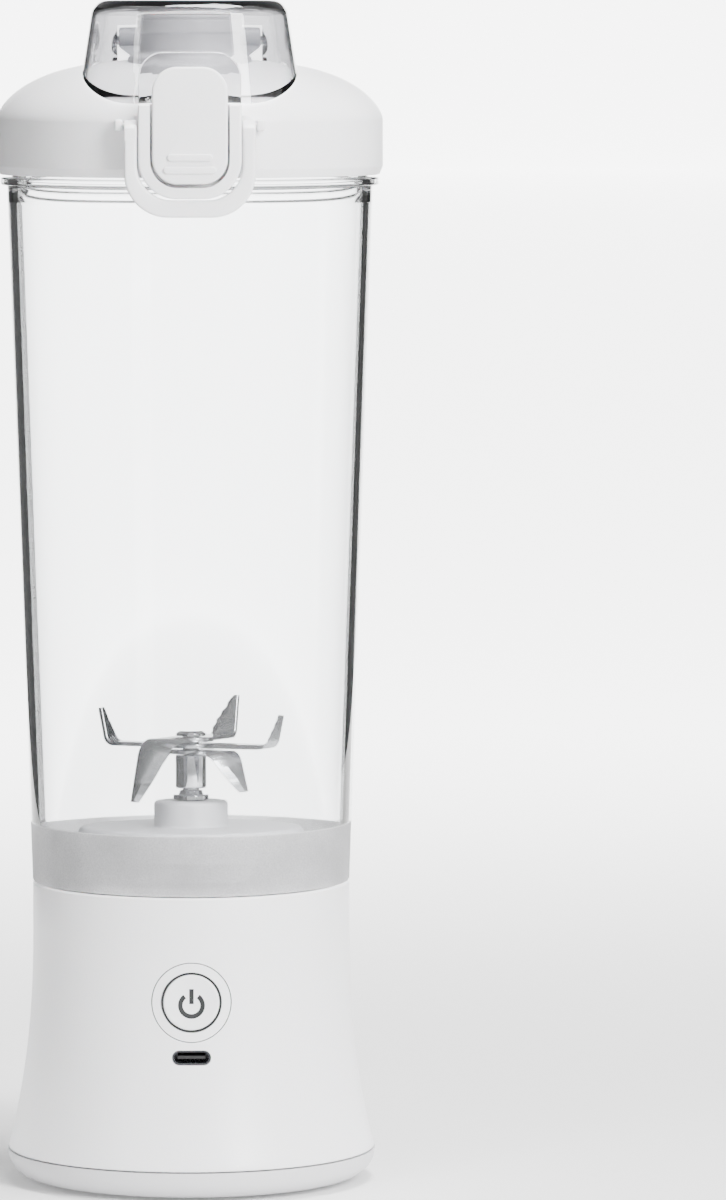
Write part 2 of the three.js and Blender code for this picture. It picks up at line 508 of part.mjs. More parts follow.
const usbTongue = () => slab(-PORT.tongueHalfW, PORT.tongueHalfW, PORT.tongueFront, PORT.tongueBack,
  PORT.z - PORT.tongueHalfH, PORT.z + PORT.tongueHalfH);

/** A ring about the button's axis from y = front to y = back. */
const buttonRing = (outer, inner, front, back) =>
  cut(rodY(outer, front, back, 0, BUTTON.z, MID_TURN), rodY(inner, -FAR, FAR, 0, BUTTON.z, MID_TURN));

const buttonBezel = () =>
  keep(buttonRing(BUTTON.bezelR, BUTTON.bezelInner, -BASE.maxR, BUTTON.bezelBack), baseVolume());
const lightRing = () => buttonRing(BUTTON.ringOuter, BUTTON.ringInner, BUTTON.ringFront, BUTTON.ringBack);

/** The dished power button with its stem. */
function powerButton() {
  const b = BUTTON;
  const [capBack, stemBack] = [b.capBack - b.rimFront, b.stemBack - b.rimFront];
  const disc = turned([
    [0, b.dish], [b.capR / 2, b.dishHalfway], [b.capR - b.rimWidth, 0], [b.capR, b.rimRound],
    [b.capR, capBack], [b.stemR, capBack], [b.stemR, stemBack], [0, stemBack],
  ], MID_TURN);
  return disc.rotateX(-Math.PI / 2).translate(0, b.rimFront, b.z);
}

const switchPlunger = () => rodY(SWITCH.plungerR, SWITCH.plungerFront, SWITCH.plungerBack, 0, BUTTON.z);

// ---------------------------------------------------------------- rotor and blades

const driveShaft = () => turned([
  [0, SHAFT.bottomZ], [SHAFT.radius, SHAFT.bottomZ], [SHAFT.radius, SHAFT.topZ - SHAFT.bevel],
  [SHAFT.radius - SHAFT.bevel, SHAFT.topZ], [0, SHAFT.topZ],
], MID_TURN);

const spacerSleeve = () => ring(SLEEVE.radius, BLADE.boreR, SLEEVE.bottomZ, SLEEVE.topZ, MID_TURN);

/** One blade arm: a tapered strip, flat out to its reach, then bent up or down and cut to a point. */
function bladeArm(arm, low) {
  const arc = arm.bendR * radians(Math.abs(arm.bend));
  const length = arm.reach + arc + arm.tip;
  const strip = new THREE.BoxGeometry(length, 1, BLADE.thickness, BLADE.steps, 1, 1).translate(length / 2, 0, 0);
  const place = strip.getAttribute('position');
  const sign = Math.sign(arm.bend);
  for (let i = 0; i < place.count; i++) {
    const along = place.getX(i);
    const share = along / length;
    const edge = place.getY(i) * 2;
    const lead = arm.root / 2 + (arm.mid - arm.root) / 2 * share;
    const past = Math.max(0, along - arm.reach) / (arc + arm.tip);
    const trail = lead * (1 - arm.narrowing * past ** BLADE.narrowPower);
    const across = edge * arm.side > 0 ? arm.side * lead : -arm.side * trail;
    const turn = Math.min(Math.max(along - arm.reach, 0), arc) / arm.bendR;
    const beyond = Math.max(along - arm.reach - arc, 0);
    const out = Math.min(along, arm.reach) + arm.bendR * Math.sin(turn) + beyond * Math.cos(turn);
    const rise = arm.bendR * (1 - Math.cos(turn)) + beyond * Math.sin(turn);
    const off = place.getZ(i);
    place.setXYZ(i, out - sign * off * Math.sin(turn), across, sign * rise + off * Math.cos(turn));
  }
  return at(strip, arm.azimuth).translate(0, 0, low + BLADE.thickness / 2);
}

/** One stamping: a hub disc with two arms. */
function bladeStamping(name, low) {
  return cut(
    join(rod(BLADE.hubR, low, low + BLADE.thickness, MID_TURN), ...ARMS[name].map((arm) => bladeArm(arm, low))),
    rod(BLADE.boreR, 0, FAR, MID_TURN));
}

const bladeNut = () => turned([
  [BLADE.boreR, BLADE.nutZ], [BLADE.nutR, BLADE.nutZ], [BLADE.nutR, BLADE.nutTop],
  [BLADE.nutDomeR, BLADE.domeTop], [0, BLADE.domeTop], [0, BLADE.nutRoof], [BLADE.boreR, BLADE.nutRoof],
  [BLADE.boreR, BLADE.nutZ],
], MID_TURN);

// ---------------------------------------------------------------- cup

/** The open-bottomed cup: a tapered wall, a bead under the lid, a neck inside it and a foot over the seat. */
function cup() {
  const c = CUP;
  return ringOf([
    [c.footR - c.round, c.bottomZ], [c.footR, c.bottomZ + c.round], [c.rimR, c.rimZ], [c.beadR, c.rimZ + c.round],
    [c.beadR, c.beadTop - c.round], [c.beadR - c.round, c.beadTop], [c.neckR, c.beadTop], [c.neckR, c.neckTop],
    [c.neckInner, c.neckTop], [c.rimR - c.wall, c.rimZ - c.innerShoulder], [c.footR - c.wall, c.rebateZ + 1],
    [c.footR - c.wall, c.rebateZ], [c.rebateR, c.rebateZ], [c.rebateR, c.bottomZ],
  ]);
}

// ---------------------------------------------------------------- lid

/** Height of the lid's dome at radius r, its wall moved in by inset. */
const domeHeight = (r, inset = 0) =>
  LID.shoulderZ + (LID.domeH - inset) *
    Math.max(0, 1 - (r / (LID.domeR - inset)) ** LID.domePower) ** (1 / LID.domeRoot);

const domeProfile = (inset, steps = LID.domeSteps) => Array.from({ length: steps }, (_, i) => {
  const r = (LID.domeR - inset) * Math.cos(radians(90) * (i / steps) ** LID.domeSpread);
  return [r, domeHeight(r, inset)];
});

/** Everything under the dome, grown outward by a clearance. */
const domeVolume = (clearance) => turned([
  [0, LID.cutterLowZ], [LID.domeR + clearance, LID.cutterLowZ], ...domeProfile(-clearance),
  [0, LID.shoulderZ + LID.domeH + clearance],
]);

function lidBody() {
  const l = LID;
  const dome = turned([
    [l.skirtInner, l.bottomZ], [l.radius - l.chamfer, l.bottomZ], [l.radius, l.chamferTop], ...domeProfile(0),
    [0, l.shoulderZ + l.domeH], [0, l.shoulderZ + l.domeH - l.wall],
    ...domeProfile(l.wall, l.innerSteps).reverse(), [l.skirtInner, l.innerTopZ], [l.skirtInner, l.bottomZ],
  ]);
  const boss = cut(
    plateFront(roundedPlate(BOSS.halfW, BOSS.bottomZ, BOSS.topZ, BOSS.cornerR), FRONT.boss, FRONT.bossBack),
    plateFront(roundedPlate(BOSS.innerHalfW, BOSS.innerBottomZ, FAR, BOSS.innerCornerR), -FAR, FRONT.pocketFloor),
    rod(BOSS.flangeClearR, 0, l.bottomZ, BIG_TURN), rod(l.skirtInner + 1, 0, l.ceilingZ, BIG_TURN),
    slab(-FAR, FAR, BOSS.roomY, FAR, BOSS.roomZ, FAR));
  const ears = both((side) => {
    const [low, high] = side > 0 ? [EAR.low, EAR.high] : [-EAR.high, -EAR.low];
    return join(
      rodX(EAR.radius, low, high, RELEASE.pivotY, RELEASE.pivotZ),
      slab(low, high, EAR.front, EAR.back, EAR.bottomZ, RELEASE.pivotZ));
  });
  const lugs = both((side) => {
    const [low, high] = side > 0 ? [LOOP_LUG.low, LOOP_LUG.high] : [-LOOP_LUG.high, -LOOP_LUG.low];
    return cut(
      slab(low, high, LOOP_LUG.front, LOOP_LUG.back, LOOP.pivotZ - LOOP_LUG.halfH, LOOP.pivotZ + LOOP_LUG.halfH),
      rod(l.skirtInner + 1, 0, FAR, BIG_TURN));
  });
  const pockets = both((side) => slab(...(side > 0 ? [BOSS.halfW, LOOP_LUG.low] : [-LOOP_LUG.low, -BOSS.halfW]),
    LOOP.pocketFront, LOOP.pocketBack, LOOP.pocketLow, LOOP.pocketHigh));
  return cut(
    join(dome, boss, ...ears, ...lugs),
    ...pockets,
    rodX(LOOP_LUG.holeR, LOOP_LUG.holeStart, LOOP_LUG.holeEnd, LOOP.pivotY, LOOP.pivotZ),
    rodX(LOOP_LUG.holeR, -LOOP_LUG.holeEnd, -LOOP_LUG.holeStart, LOOP.pivotY, LOOP.pivotZ),
    rodX(EAR.holeR, -BOSS.innerHalfW, BOSS.innerHalfW, RELEASE.pivotY, RELEASE.pivotZ),
    rod(SPOUT.holeR, 0, FAR, MID_TURN).translate(0, SPOUT.y, 0));
}

const lidGasket = () => ring(LID_GASKET.outer, LID_GASKET.inner, LID_GASKET.bottomZ, LID_GASKET.topZ);

/** The drinking spout: a tube through the lid, a foot on the dome and a thicker lip. */
function spout() {
  const s = SPOUT;
  const above = ringOf([
    [s.baseR, s.startZ], [s.baseR, s.baseTop - s.round], [s.shankR, s.baseTop + s.round], [s.shankR, s.lipZ - s.round],
    [s.lipR, s.lipZ], [s.lipR, s.topZ - s.lipRound], [s.lipR - s.lipRound, s.topZ], [s.bore + s.lipRound, s.topZ],
    [s.bore, s.topZ - s.lipRound], [s.bore, s.startZ],
  ], MID_TURN).translate(0, s.y, 0);
  const tube = ring(s.tubeR, s.bore, s.tubeBottom, s.baseTop, MID_TURN).translate(0, s.y, 0);
  return join(cut(above, domeVolume(GAP)), tube);
}

/** The rear bracket that carries the flip cap's hinge pin: a wide knuckle on a narrower foot. */
function hingeBracket() {
  const b = BRACKET;
  const { hingeY, hingeZ } = CAP;
  const front = plateFront(polygon([
    [-b.footHalf, b.bottomZ], [b.footHalf, b.bottomZ], [b.footHalf, b.flareZ], [b.half, b.sideZ],
    [b.half, b.topZ], [-b.half, b.topZ], [-b.half, b.sideZ], [-b.footHalf, b.flareZ]]), b.front, FAR);
  const side = join(
    plateSide(polygon([[b.front, b.bottomZ], [b.back, b.bottomZ], [b.back, hingeZ], [b.armFront, b.sideZ],
      [b.front, b.footTop]]), -b.half, b.half),
    rodX(b.knuckleR, -b.half, b.half, hingeY, hingeZ));
  return cut(keep(front, side), domeVolume(GAP),
    rodX(b.springGapR, -b.springHalf, b.springHalf, hingeY, hingeZ),
    rodX(b.holeR, -FAR, FAR, hingeY, hingeZ));
}

const hingePin = () => rodX(HINGE_PIN.radius, -HINGE_PIN.halfLength, HINGE_PIN.halfLength, CAP.hingeY, CAP.hingeZ);
const releasePin = () => rodX(RELEASE_PIN.radius, -RELEASE_PIN.halfLength, RELEASE_PIN.halfLength,
  RELEASE.pivotY, RELEASE.pivotZ);

/** A spring coil wound round a pin along X. */
function torsionSpring(spring, y, z) {
  class Winding extends THREE.Curve {
    getPoint(t, target = new THREE.Vector3()) {
      const angle = 2 * Math.PI * spring.turns * t;
      return target.set(spring.halfLength * (2 * t - 1),
        y + spring.radius * Math.cos(angle), z + spring.radius * Math.sin(angle));
    }
  }
  const section = new THREE.Shape();
  section.absarc(0, 0, spring.wire, 0, 2 * Math.PI, false);
  return new THREE.ExtrudeGeometry(section,
    { steps: spring.turns * spring.stepsPerTurn, extrudePath: new Winding(), curveSegments: 2, bevelEnabled: false });
}

// ---------------------------------------------------------------- flip cap

/** Plan outline of the flip cap, moved in by inset: a blunt front and a squarer, narrower rear. */
function capOutline(inset) {
  const c = CAP;
  const halfW = c.halfW - inset;
  const points = [];
  const half = (centre, reach, power, from, to) => {
    for (let i = 0; i < c.halfSteps; i++) {
      const angle = radians(from + (to - from) * i / c.halfSteps);
      const [cos, sin] = [Math.cos(angle), Math.sin(angle)];
      points.push(vector(halfW * Math.sign(cos) * Math.abs(cos) ** (2 / power),
        centre + (reach - inset) * Math.sign(sin) * Math.abs(sin) ** (2 / power)));
    }
  };
  half(c.rearCentre, c.rearReach, c.rearPower, 0, 180);
  half(c.frontCentre, c.frontReach, c.frontPower, 180, 360);
  return new THREE.Shape(points);
}

/** The cap's volume to a top height: the outline drawn up, tapered, with a rounded top edge. */
function capVolume(inset, topZ, edge) {
  const c = CAP;
  const body = new THREE.ExtrudeGeometry(capOutline(inset + edge), {
    depth: topZ - edge - c.bottomZ, bevelEnabled: true, bevelThickness: edge, bevelSize: edge,
    bevelSegments: c.edgeSteps, steps: 1,
  }).translate(0, 0, c.bottomZ);
  const place = body.getAttribute('position');
  for (let i = 0; i < place.count; i++) {
    const z = Math.max(place.getZ(i), c.bottomZ);
    const scale = 1 - c.taper * (z - c.baseZ);
    place.setXYZ(i, place.getX(i) * scale, place.getY(i) * scale, place.getZ(i));
  }
  return body;
}

/** The smoke-tinted cap: a tapered shell, a tunnel over the release button, a ledge and two hinge ears. */
function flipCap() {
  const c = CAP;
  const room = () => capVolume(c.wall, c.topZ - c.wall, c.innerEdge);
  const shell = cut(capVolume(0, c.topZ, c.edge), room());
  const arch = plateFront(
    roundedPlate(ARCH.halfW, ARCH.bottomZ, ARCH.topZ, HAIR, ARCH.cornerR), FRONT.arch, ARCH.back);
  const tunnel = plateFront(
    roundedPlate(ARCH.innerHalfW, 0, ARCH.innerTopZ, HAIR, ARCH.innerCornerR), -FAR, ARCH.tunnelBack);
  const ears = both((side) => keep(
    rodX(c.earR, ...(side > 0 ? [c.earLow, c.halfW] : [-c.halfW, -c.earLow]), c.hingeY, c.hingeZ),
    capVolume(c.earInset, c.topZ, c.edge)));
  const ledge = slab(-LEDGE.halfW, LEDGE.halfW, LEDGE.front, LEDGE.back, LEDGE.low, LEDGE.high);
  const pinReach = HINGE_PIN.halfLength + GAP;
  return cut(
    join(cut(join(shell, cut(arch, room())), tunnel), ledge, ...ears),
    domeVolume(c.skirtGap),
    slab(-FAR, FAR, c.trimY, FAR, 0, c.trimZ),
    slab(-FAR, FAR, -FAR, FAR, 0, c.skirtZ),
    slab(-c.notchHalf, c.notchHalf, c.notchY, FAR, 0, c.notchTop),
    rodX(c.pinHoleR, -pinReach, pinReach, c.hingeY, c.hingeZ));
}

const capSeal = () => ringOf([
  [CAP_SEAL.plugR, CAP_SEAL.plugBottom], [CAP_SEAL.plugR, CAP_SEAL.flangeBottom],
  [CAP_SEAL.flangeR, CAP_SEAL.flangeBottom], [CAP_SEAL.flangeR, CAP_SEAL.flangeTop],
  [CAP_SEAL.bore, CAP_SEAL.flangeTop], [CAP_SEAL.bore, CAP_SEAL.plugBottom],
], MID_TURN).translate(0, SPOUT.y, 0);

// ---------------------------------------------------------------- release button and carry loop

/** The rocker: a pill plate with two grip ribs, two pivot lugs and a catch nose behind its top. */
function releaseButton() {
  const r = RELEASE;
  const root = FRONT.buttonBack - r.overlap;
  const plate = plateFront(
    roundedPlate(r.halfW, r.bottomZ, r.topZ, r.cornerR, r.cornerR), FRONT.button, FRONT.buttonBack);
  const ribs = r.ribs.map(({ z, half }) => plateFront(
    roundedPlate(half, z - r.ribHalfH, z + r.ribHalfH, r.ribHalfH - HAIR, r.ribHalfH - HAIR),
    FRONT.rib, FRONT.button + r.overlap));
  const lugs = both((side) => {
    const [low, high] = side > 0 ? [r.lugLow, r.lugHigh] : [-r.lugHigh, -r.lugLow];
    return join(
      rodX(r.lugR, low, high, r.pivotY, r.pivotZ),
      slab(low, high, root, r.pivotY, r.pivotZ - r.lugR, r.pivotZ + r.lugR));
  });
  const nose = plateSide(polygon([[root, r.noseLow], [r.noseBack, r.noseLow],
    [r.noseBack, r.noseLow + r.noseTip], [root, r.noseHigh]]), -r.noseHalf, r.noseHalf);
  return cut(join(plate, ...ribs, ...lugs, nose), rodX(r.lugHoleR, -FAR, FAR, r.pivotY, r.pivotZ));
}

/** The carry loop: a U round the boss whose arms bend back to pins in the lid's lugs. */
function carryLoop() {
  const l = LOOP;
  const u = cut(
    plateFront(roundedPlate(l.halfW, l.bottomZ, l.frontTopZ, l.cornerR), FRONT.loop, FRONT.loopBack),
    plateFront(roundedPlate(l.innerHalfW, l.innerBottomZ, FAR, l.innerCornerR), -FAR, FAR));
  const shoulder = polygon([
    [FRONT.loop, l.frontTopZ - l.shoulderH], [FRONT.loop, l.frontTopZ], [FRONT.loop + 1, l.frontTopZ + l.frontRise],
    [l.pivotY, l.pivotZ + l.earR], [l.pivotY, l.pivotZ - l.earR], [FRONT.loopBack, l.frontTopZ - l.shoulderH]]);
  const arms = both((side) => {
    const [low, high] = side > 0 ? [l.innerHalfW, l.halfW] : [-l.halfW, -l.innerHalfW];
    const [pinLow, pinHigh] = side > 0 ? [l.pinStart, l.pinEnd] : [-l.pinEnd, -l.pinStart];
    return join(plateSide(shoulder, low, high), rodX(l.earR, low, high, l.pivotY, l.pivotZ),
      rodX(l.pinR, pinLow, pinHigh, l.pivotY, l.pivotZ));
  });
  return join(u, ...arms);
}

// ---------------------------------------------------------------- the blender

add('base_shell', baseShell(), FINISH.shell());
add('base_bottom_cap', bottomCap(), FINISH.underside());
add('foot_pad', footPad(), FINISH.silicone());
POST.angles.forEach((angle, i) => add(`bottom_screw_${i + 1}`, bottomScrew(angle), FINISH.steel()));
add('blade_seat', bladeSeat(), FINISH.seat());
add('neck_gasket', neckGasket(), FINISH.silicone());
add('upper_bearing', bearing(BEARING.upperZ), FINISH.steel());
add('lower_bearing', bearing(BEARING.lowerZ), FINISH.steel());
add('shaft_seal', shaftSeal(), FINISH.dark());
add('seal_retainer', sealRetainer(), FINISH.chrome());

add('motor_can', motorCan(), FINISH.steel());
add('motor_end_bell', motorEndBell(), FINISH.dark());
add('magnet_left', magnet(180), FINISH.magnet());
add('magnet_right', magnet(0), FINISH.magnet());
add('motor_plate', motorPlate(), FINISH.steel());
both((side) => add(`motor_screw_${side > 0 ? 1 : 2}`, smallScrew(side * MOTOR_PLATE.screwRadial, 0,
  MOTOR_PLATE.topZ + SMALL_SCREW.lift, 1, SMALL_SCREW.motorLength), FINISH.steel()));
both((side) => add(`plate_screw_${side > 0 ? 1 : 2}`, smallScrew(0, side * SEAT.postRadial,
  MOTOR_PLATE.bottomZ - SMALL_SCREW.lift, -1, SMALL_SCREW.plateLength), FINISH.steel()));
add('battery_cell_left', batteryCell(-1), FINISH.cell());
add('battery_cell_right', batteryCell(1), FINISH.cell());
add('battery_tray', batteryTray(), FINISH.dark());
add('battery_link', batteryLink(), FINISH.steel());
add('control_board', controlBoard(), FINISH.board());
add('tact_switch', tactSwitch(), FINISH.dark());
add('usb_c_shell', usbShell(), FINISH.steel());
add('usb_c_tongue', usbTongue(), FINISH.dark());
add('button_bezel', buttonBezel(), FINISH.shell());
add('light_ring', lightRing(), FINISH.grey());
add('power_button', powerButton(), FINISH.shell());
add('switch_plunger', switchPlunger(), FINISH.dark());

add('drive_shaft', driveShaft(), FINISH.steel());
add('motor_armature', armature(), FINISH.brass());
add('shaft_coupling', shaftCoupling(), FINISH.brass());
add('spacer_sleeve', spacerSleeve(), FINISH.chrome());
Object.keys(ARMS).forEach((name, i) =>
  add(name, bladeStamping(name, BLADE.lowerZ + i * BLADE.pitchZ), FINISH.steel()));
add('blade_nut', bladeNut(), FINISH.chrome());

add('cup', cup(), FINISH.clear());
add('lid_body', lidBody(), FINISH.shell());
add('lid_gasket', lidGasket(), FINISH.silicone());
add('spout', spout(), FINISH.seat());
add('hinge_bracket', hingeBracket(), FINISH.grey());
add('hinge_pin', hingePin(), FINISH.steel());
add('hinge_spring', torsionSpring(HINGE_SPRING, CAP.hingeY, CAP.hingeZ), FINISH.steel());
add('release_pin', releasePin(), FINISH.steel());
add('release_spring', torsionSpring(COIL, RELEASE.pivotY, RELEASE.pivotZ), FINISH.steel());
add('flip_cap', flipCap(), FINISH.smoke());
add('cap_seal', capSeal(), FINISH.silicone());
add('release_button', releaseButton(), FINISH.shell());
add('carry_loop', carryLoop(), FINISH.shell());

export default model;
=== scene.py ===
"""A portable blender: white flared motor base, clear tapered cup over bent steel blades, and a
white domed lid with a smoke-tinted flip cap, a release button and a carry loop.

Metres, +Z up, the front (button side) faces -Y. Lengths are written in millimetres and turned
into metres where a mesh is made.
"""

import json
import logging
import math
from dataclasses import dataclass, field
from enum import Enum
from typing import Optional, Sequence

import bmesh
import bpy
from mathutils import Matrix, Vector


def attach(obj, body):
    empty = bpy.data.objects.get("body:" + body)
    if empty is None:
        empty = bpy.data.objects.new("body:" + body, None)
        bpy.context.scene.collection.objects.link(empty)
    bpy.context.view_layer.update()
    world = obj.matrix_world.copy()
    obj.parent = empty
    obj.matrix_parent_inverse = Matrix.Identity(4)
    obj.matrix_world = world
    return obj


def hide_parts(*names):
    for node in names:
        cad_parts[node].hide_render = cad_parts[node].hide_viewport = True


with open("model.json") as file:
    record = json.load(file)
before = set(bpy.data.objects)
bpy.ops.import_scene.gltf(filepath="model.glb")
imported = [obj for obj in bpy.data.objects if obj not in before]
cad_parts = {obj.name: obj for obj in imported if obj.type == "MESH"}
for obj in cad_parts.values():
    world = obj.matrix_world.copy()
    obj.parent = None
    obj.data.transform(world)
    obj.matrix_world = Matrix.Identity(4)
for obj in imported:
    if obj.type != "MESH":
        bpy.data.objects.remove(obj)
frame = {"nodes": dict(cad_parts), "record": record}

LOG = logging.getLogger("portable_blender")
MM = 0.001
FAR = 400.0  # longer than the blender, for tools that cut right through
UPRIGHT = Matrix.Rotation(math.pi / 2, 3, "X")  # an axis along Z is laid along Y
ALONG_X = Matrix.Rotation(math.pi / 2, 3, "Y")  # an axis along Z is laid along X
SIDEWAYS = Matrix.Rotation(math.pi / 2, 3, "Z")  # a plate in x and z is turned to y and z
SPOUT_AT = (0, -12)  # the spout's axis, x and y
LOOP_PIVOT = (0, -45.9, 255.2)  # the carry loop's axis
Point2 = tuple[float, float]
Corner = tuple[float, float, float]
Obj = bpy.types.Object
Tree = bpy.types.NodeTree
Socket = bpy.types.NodeSocket
BMesh = bmesh.types.BMesh


class Body(str, Enum):
    """The moving bodies of the blender."""

    BASE = "base"
    POWER_KEY = "power_key"
    ROTOR = "rotor"
    CUP = "cup"
    LID = "lid"
    FLIP_CAP = "flip_cap"
    RELEASE_KEY = "release_key"
    CARRY_LOOP = "carry_loop"


class Slot(str, Enum):
    """The record's material slots."""

    SHELL = "shell_white"
    UNDERSIDE = "underside_grey"
    SEAT = "seat_grey"
    CLEAR = "clear_cup"
    SMOKE = "smoke_cap"
    SILICONE = "silicone"
    DARK = "dark_plastic"
    GREY = "grey_plastic"
    STEEL = "steel"
    CHROME = "chrome"
    BRASS = "brass"
    BOARD = "circuit_board"
    CELL = "cell_wrap"
    MAGNET = "magnet"


# ---- colour and shader nodes


def linear(hex_colour: str) -> tuple[float, float, float, float]:
    """Turn an sRGB hex colour into a linear one.

    Args:
        hex_colour: Six hex digits after a hash.

    Returns:
        Linear red, green, blue and an alpha of one.
    """
    parts = [int(hex_colour[i : i + 2], 16) / 255 for i in (1, 3, 5)]
    low = [p / 12.92 if p <= 0.04045 else ((p + 0.055) / 1.055) ** 2.4 for p in parts]
    return (low[0], low[1], low[2], 1.0)


def add_node(tree: Tree, kind: str, inputs: Optional[dict] = None, **settings) -> bpy.types.Node:
    """Add one node, set its properties, and set or link its inputs.

    Args:
        tree: The tree that gets the node.
        kind: The node's type name.
        inputs: Socket name or number to a value, or to an output socket to link from.
        **settings: Properties of the node itself.

    Returns:
        The new node.
    """
    made = tree.nodes.new(kind)
    for key, value in settings.items():
        setattr(made, key, value)
    for key, value in (inputs or {}).items():
        if isinstance(value, Socket):
            tree.links.new(value, made.inputs[key])
        else:
            made.inputs[key].default_value = value
    return made


def blend_colours(tree: Tree, share: Socket, low: tuple, high: tuple) -> Socket:
    """Mix two colours by a share.

    Args:
        tree: The material's tree.
        share: Socket running from zero to one.
        low: Colour at zero, linear.
        high: Colour at one, linear.

    Returns:
        The mixed colour's socket.
    """
    mixed = add_node(tree, "ShaderNodeMix", {0: share, 6: low, 7: high}, data_type="RGBA")
    return mixed.outputs[2]


def blend_values(tree: Tree, share: Socket, low: float, high: float) -> Socket:
    """Map a zero-to-one share to a value between low and high.

    Args:
        tree: The material's tree.
        share: Socket running from zero to one.
        low: Value at zero.
        high: Value at one.

    Returns:
        The mapped value's socket.
    """
    mapped = add_node(tree, "ShaderNodeMapRange", {0: share, 3: low, 4: high})
    return mapped.outputs[0]


@dataclass(frozen=True)
class Finish:
    """A solid surface: a base colour broken up by a fine grain, with a matching relief.

    Attributes:
        name: Name of the real material.
        colour: sRGB colour of the high spots.
        low_colour: sRGB colour of the low spots.
        roughness: Least and greatest roughness.
        grain_mm: Size of the grain.
        relief_mm: Height of the grain.
        stretch: How the grain is drawn out along X, Y and Z.
        metallic: One for bare metal.
        coat: Weight of a clear gloss coat.
        scatter: Weight of light passing under the surface.
    """

    name: str
    colour: str
    low_colour: str
    roughness: tuple[float, float]
    grain_mm: float = 0.6
    relief_mm: float = 0.004
    stretch: tuple[float, float, float] = (1.0, 1.0, 1.0)
    metallic: float = 0.0
    coat: float = 0.0
    scatter: float = 0.0

    def grain(self, tree: Tree) -> Socket:
        """Add the grain in the object's own coordinates and return its value."""
        place = add_node(tree, "ShaderNodeTexCoord")
        drawn = add_node(tree, "ShaderNodeMapping", {0: place.outputs["Object"], 3: self.stretch})
        noise = add_node(
            tree,
            "ShaderNodeTexNoise",
            {"Vector": drawn.outputs[0], "Scale": 1 / (self.grain_mm * MM), "Detail": 3.0, "Roughness": 0.55},
        )
        return noise.outputs[0]

    def surface(self, tree: Tree, shader: bpy.types.Node) -> None:
        """Wire the colour, roughness and relief into the shader."""
        grain = self.grain(tree)
        colour = blend_colours(tree, grain, linear(self.low_colour), linear(self.colour))
        tree.links.new(colour, shader.inputs["Base Color"])
        tree.links.new(blend_values(tree, grain, *self.roughness), shader.inputs["Roughness"])
        depth = self.relief_mm * MM
        bump = add_node(tree, "ShaderNodeBump", {"Strength": 0.6, "Distance": depth, "Height": grain})
        tree.links.new(bump.outputs[0], shader.inputs["Normal"])

    def build(self) -> bpy.types.Material:
        """Make the material.

        Returns:
            The finished material.
        """
        material = bpy.data.materials.new(self.name)
        material.use_nodes = True
        tree = material.node_tree
        tree.nodes.clear()
        out = add_node(tree, "ShaderNodeOutputMaterial")
        plain = {"Metallic": self.metallic, "Coat Weight": self.coat}
        shader = add_node(tree, "ShaderNodeBsdfPrincipled", plain)
        if self.scatter:
            shader.inputs["Subsurface Weight"].default_value = self.scatter
            shader.inputs["Subsurface Scale"].default_value = 0.0015
        self.surface(tree, shader)
        tree.links.new(shader.outputs[0], out.inputs[0])
        return material


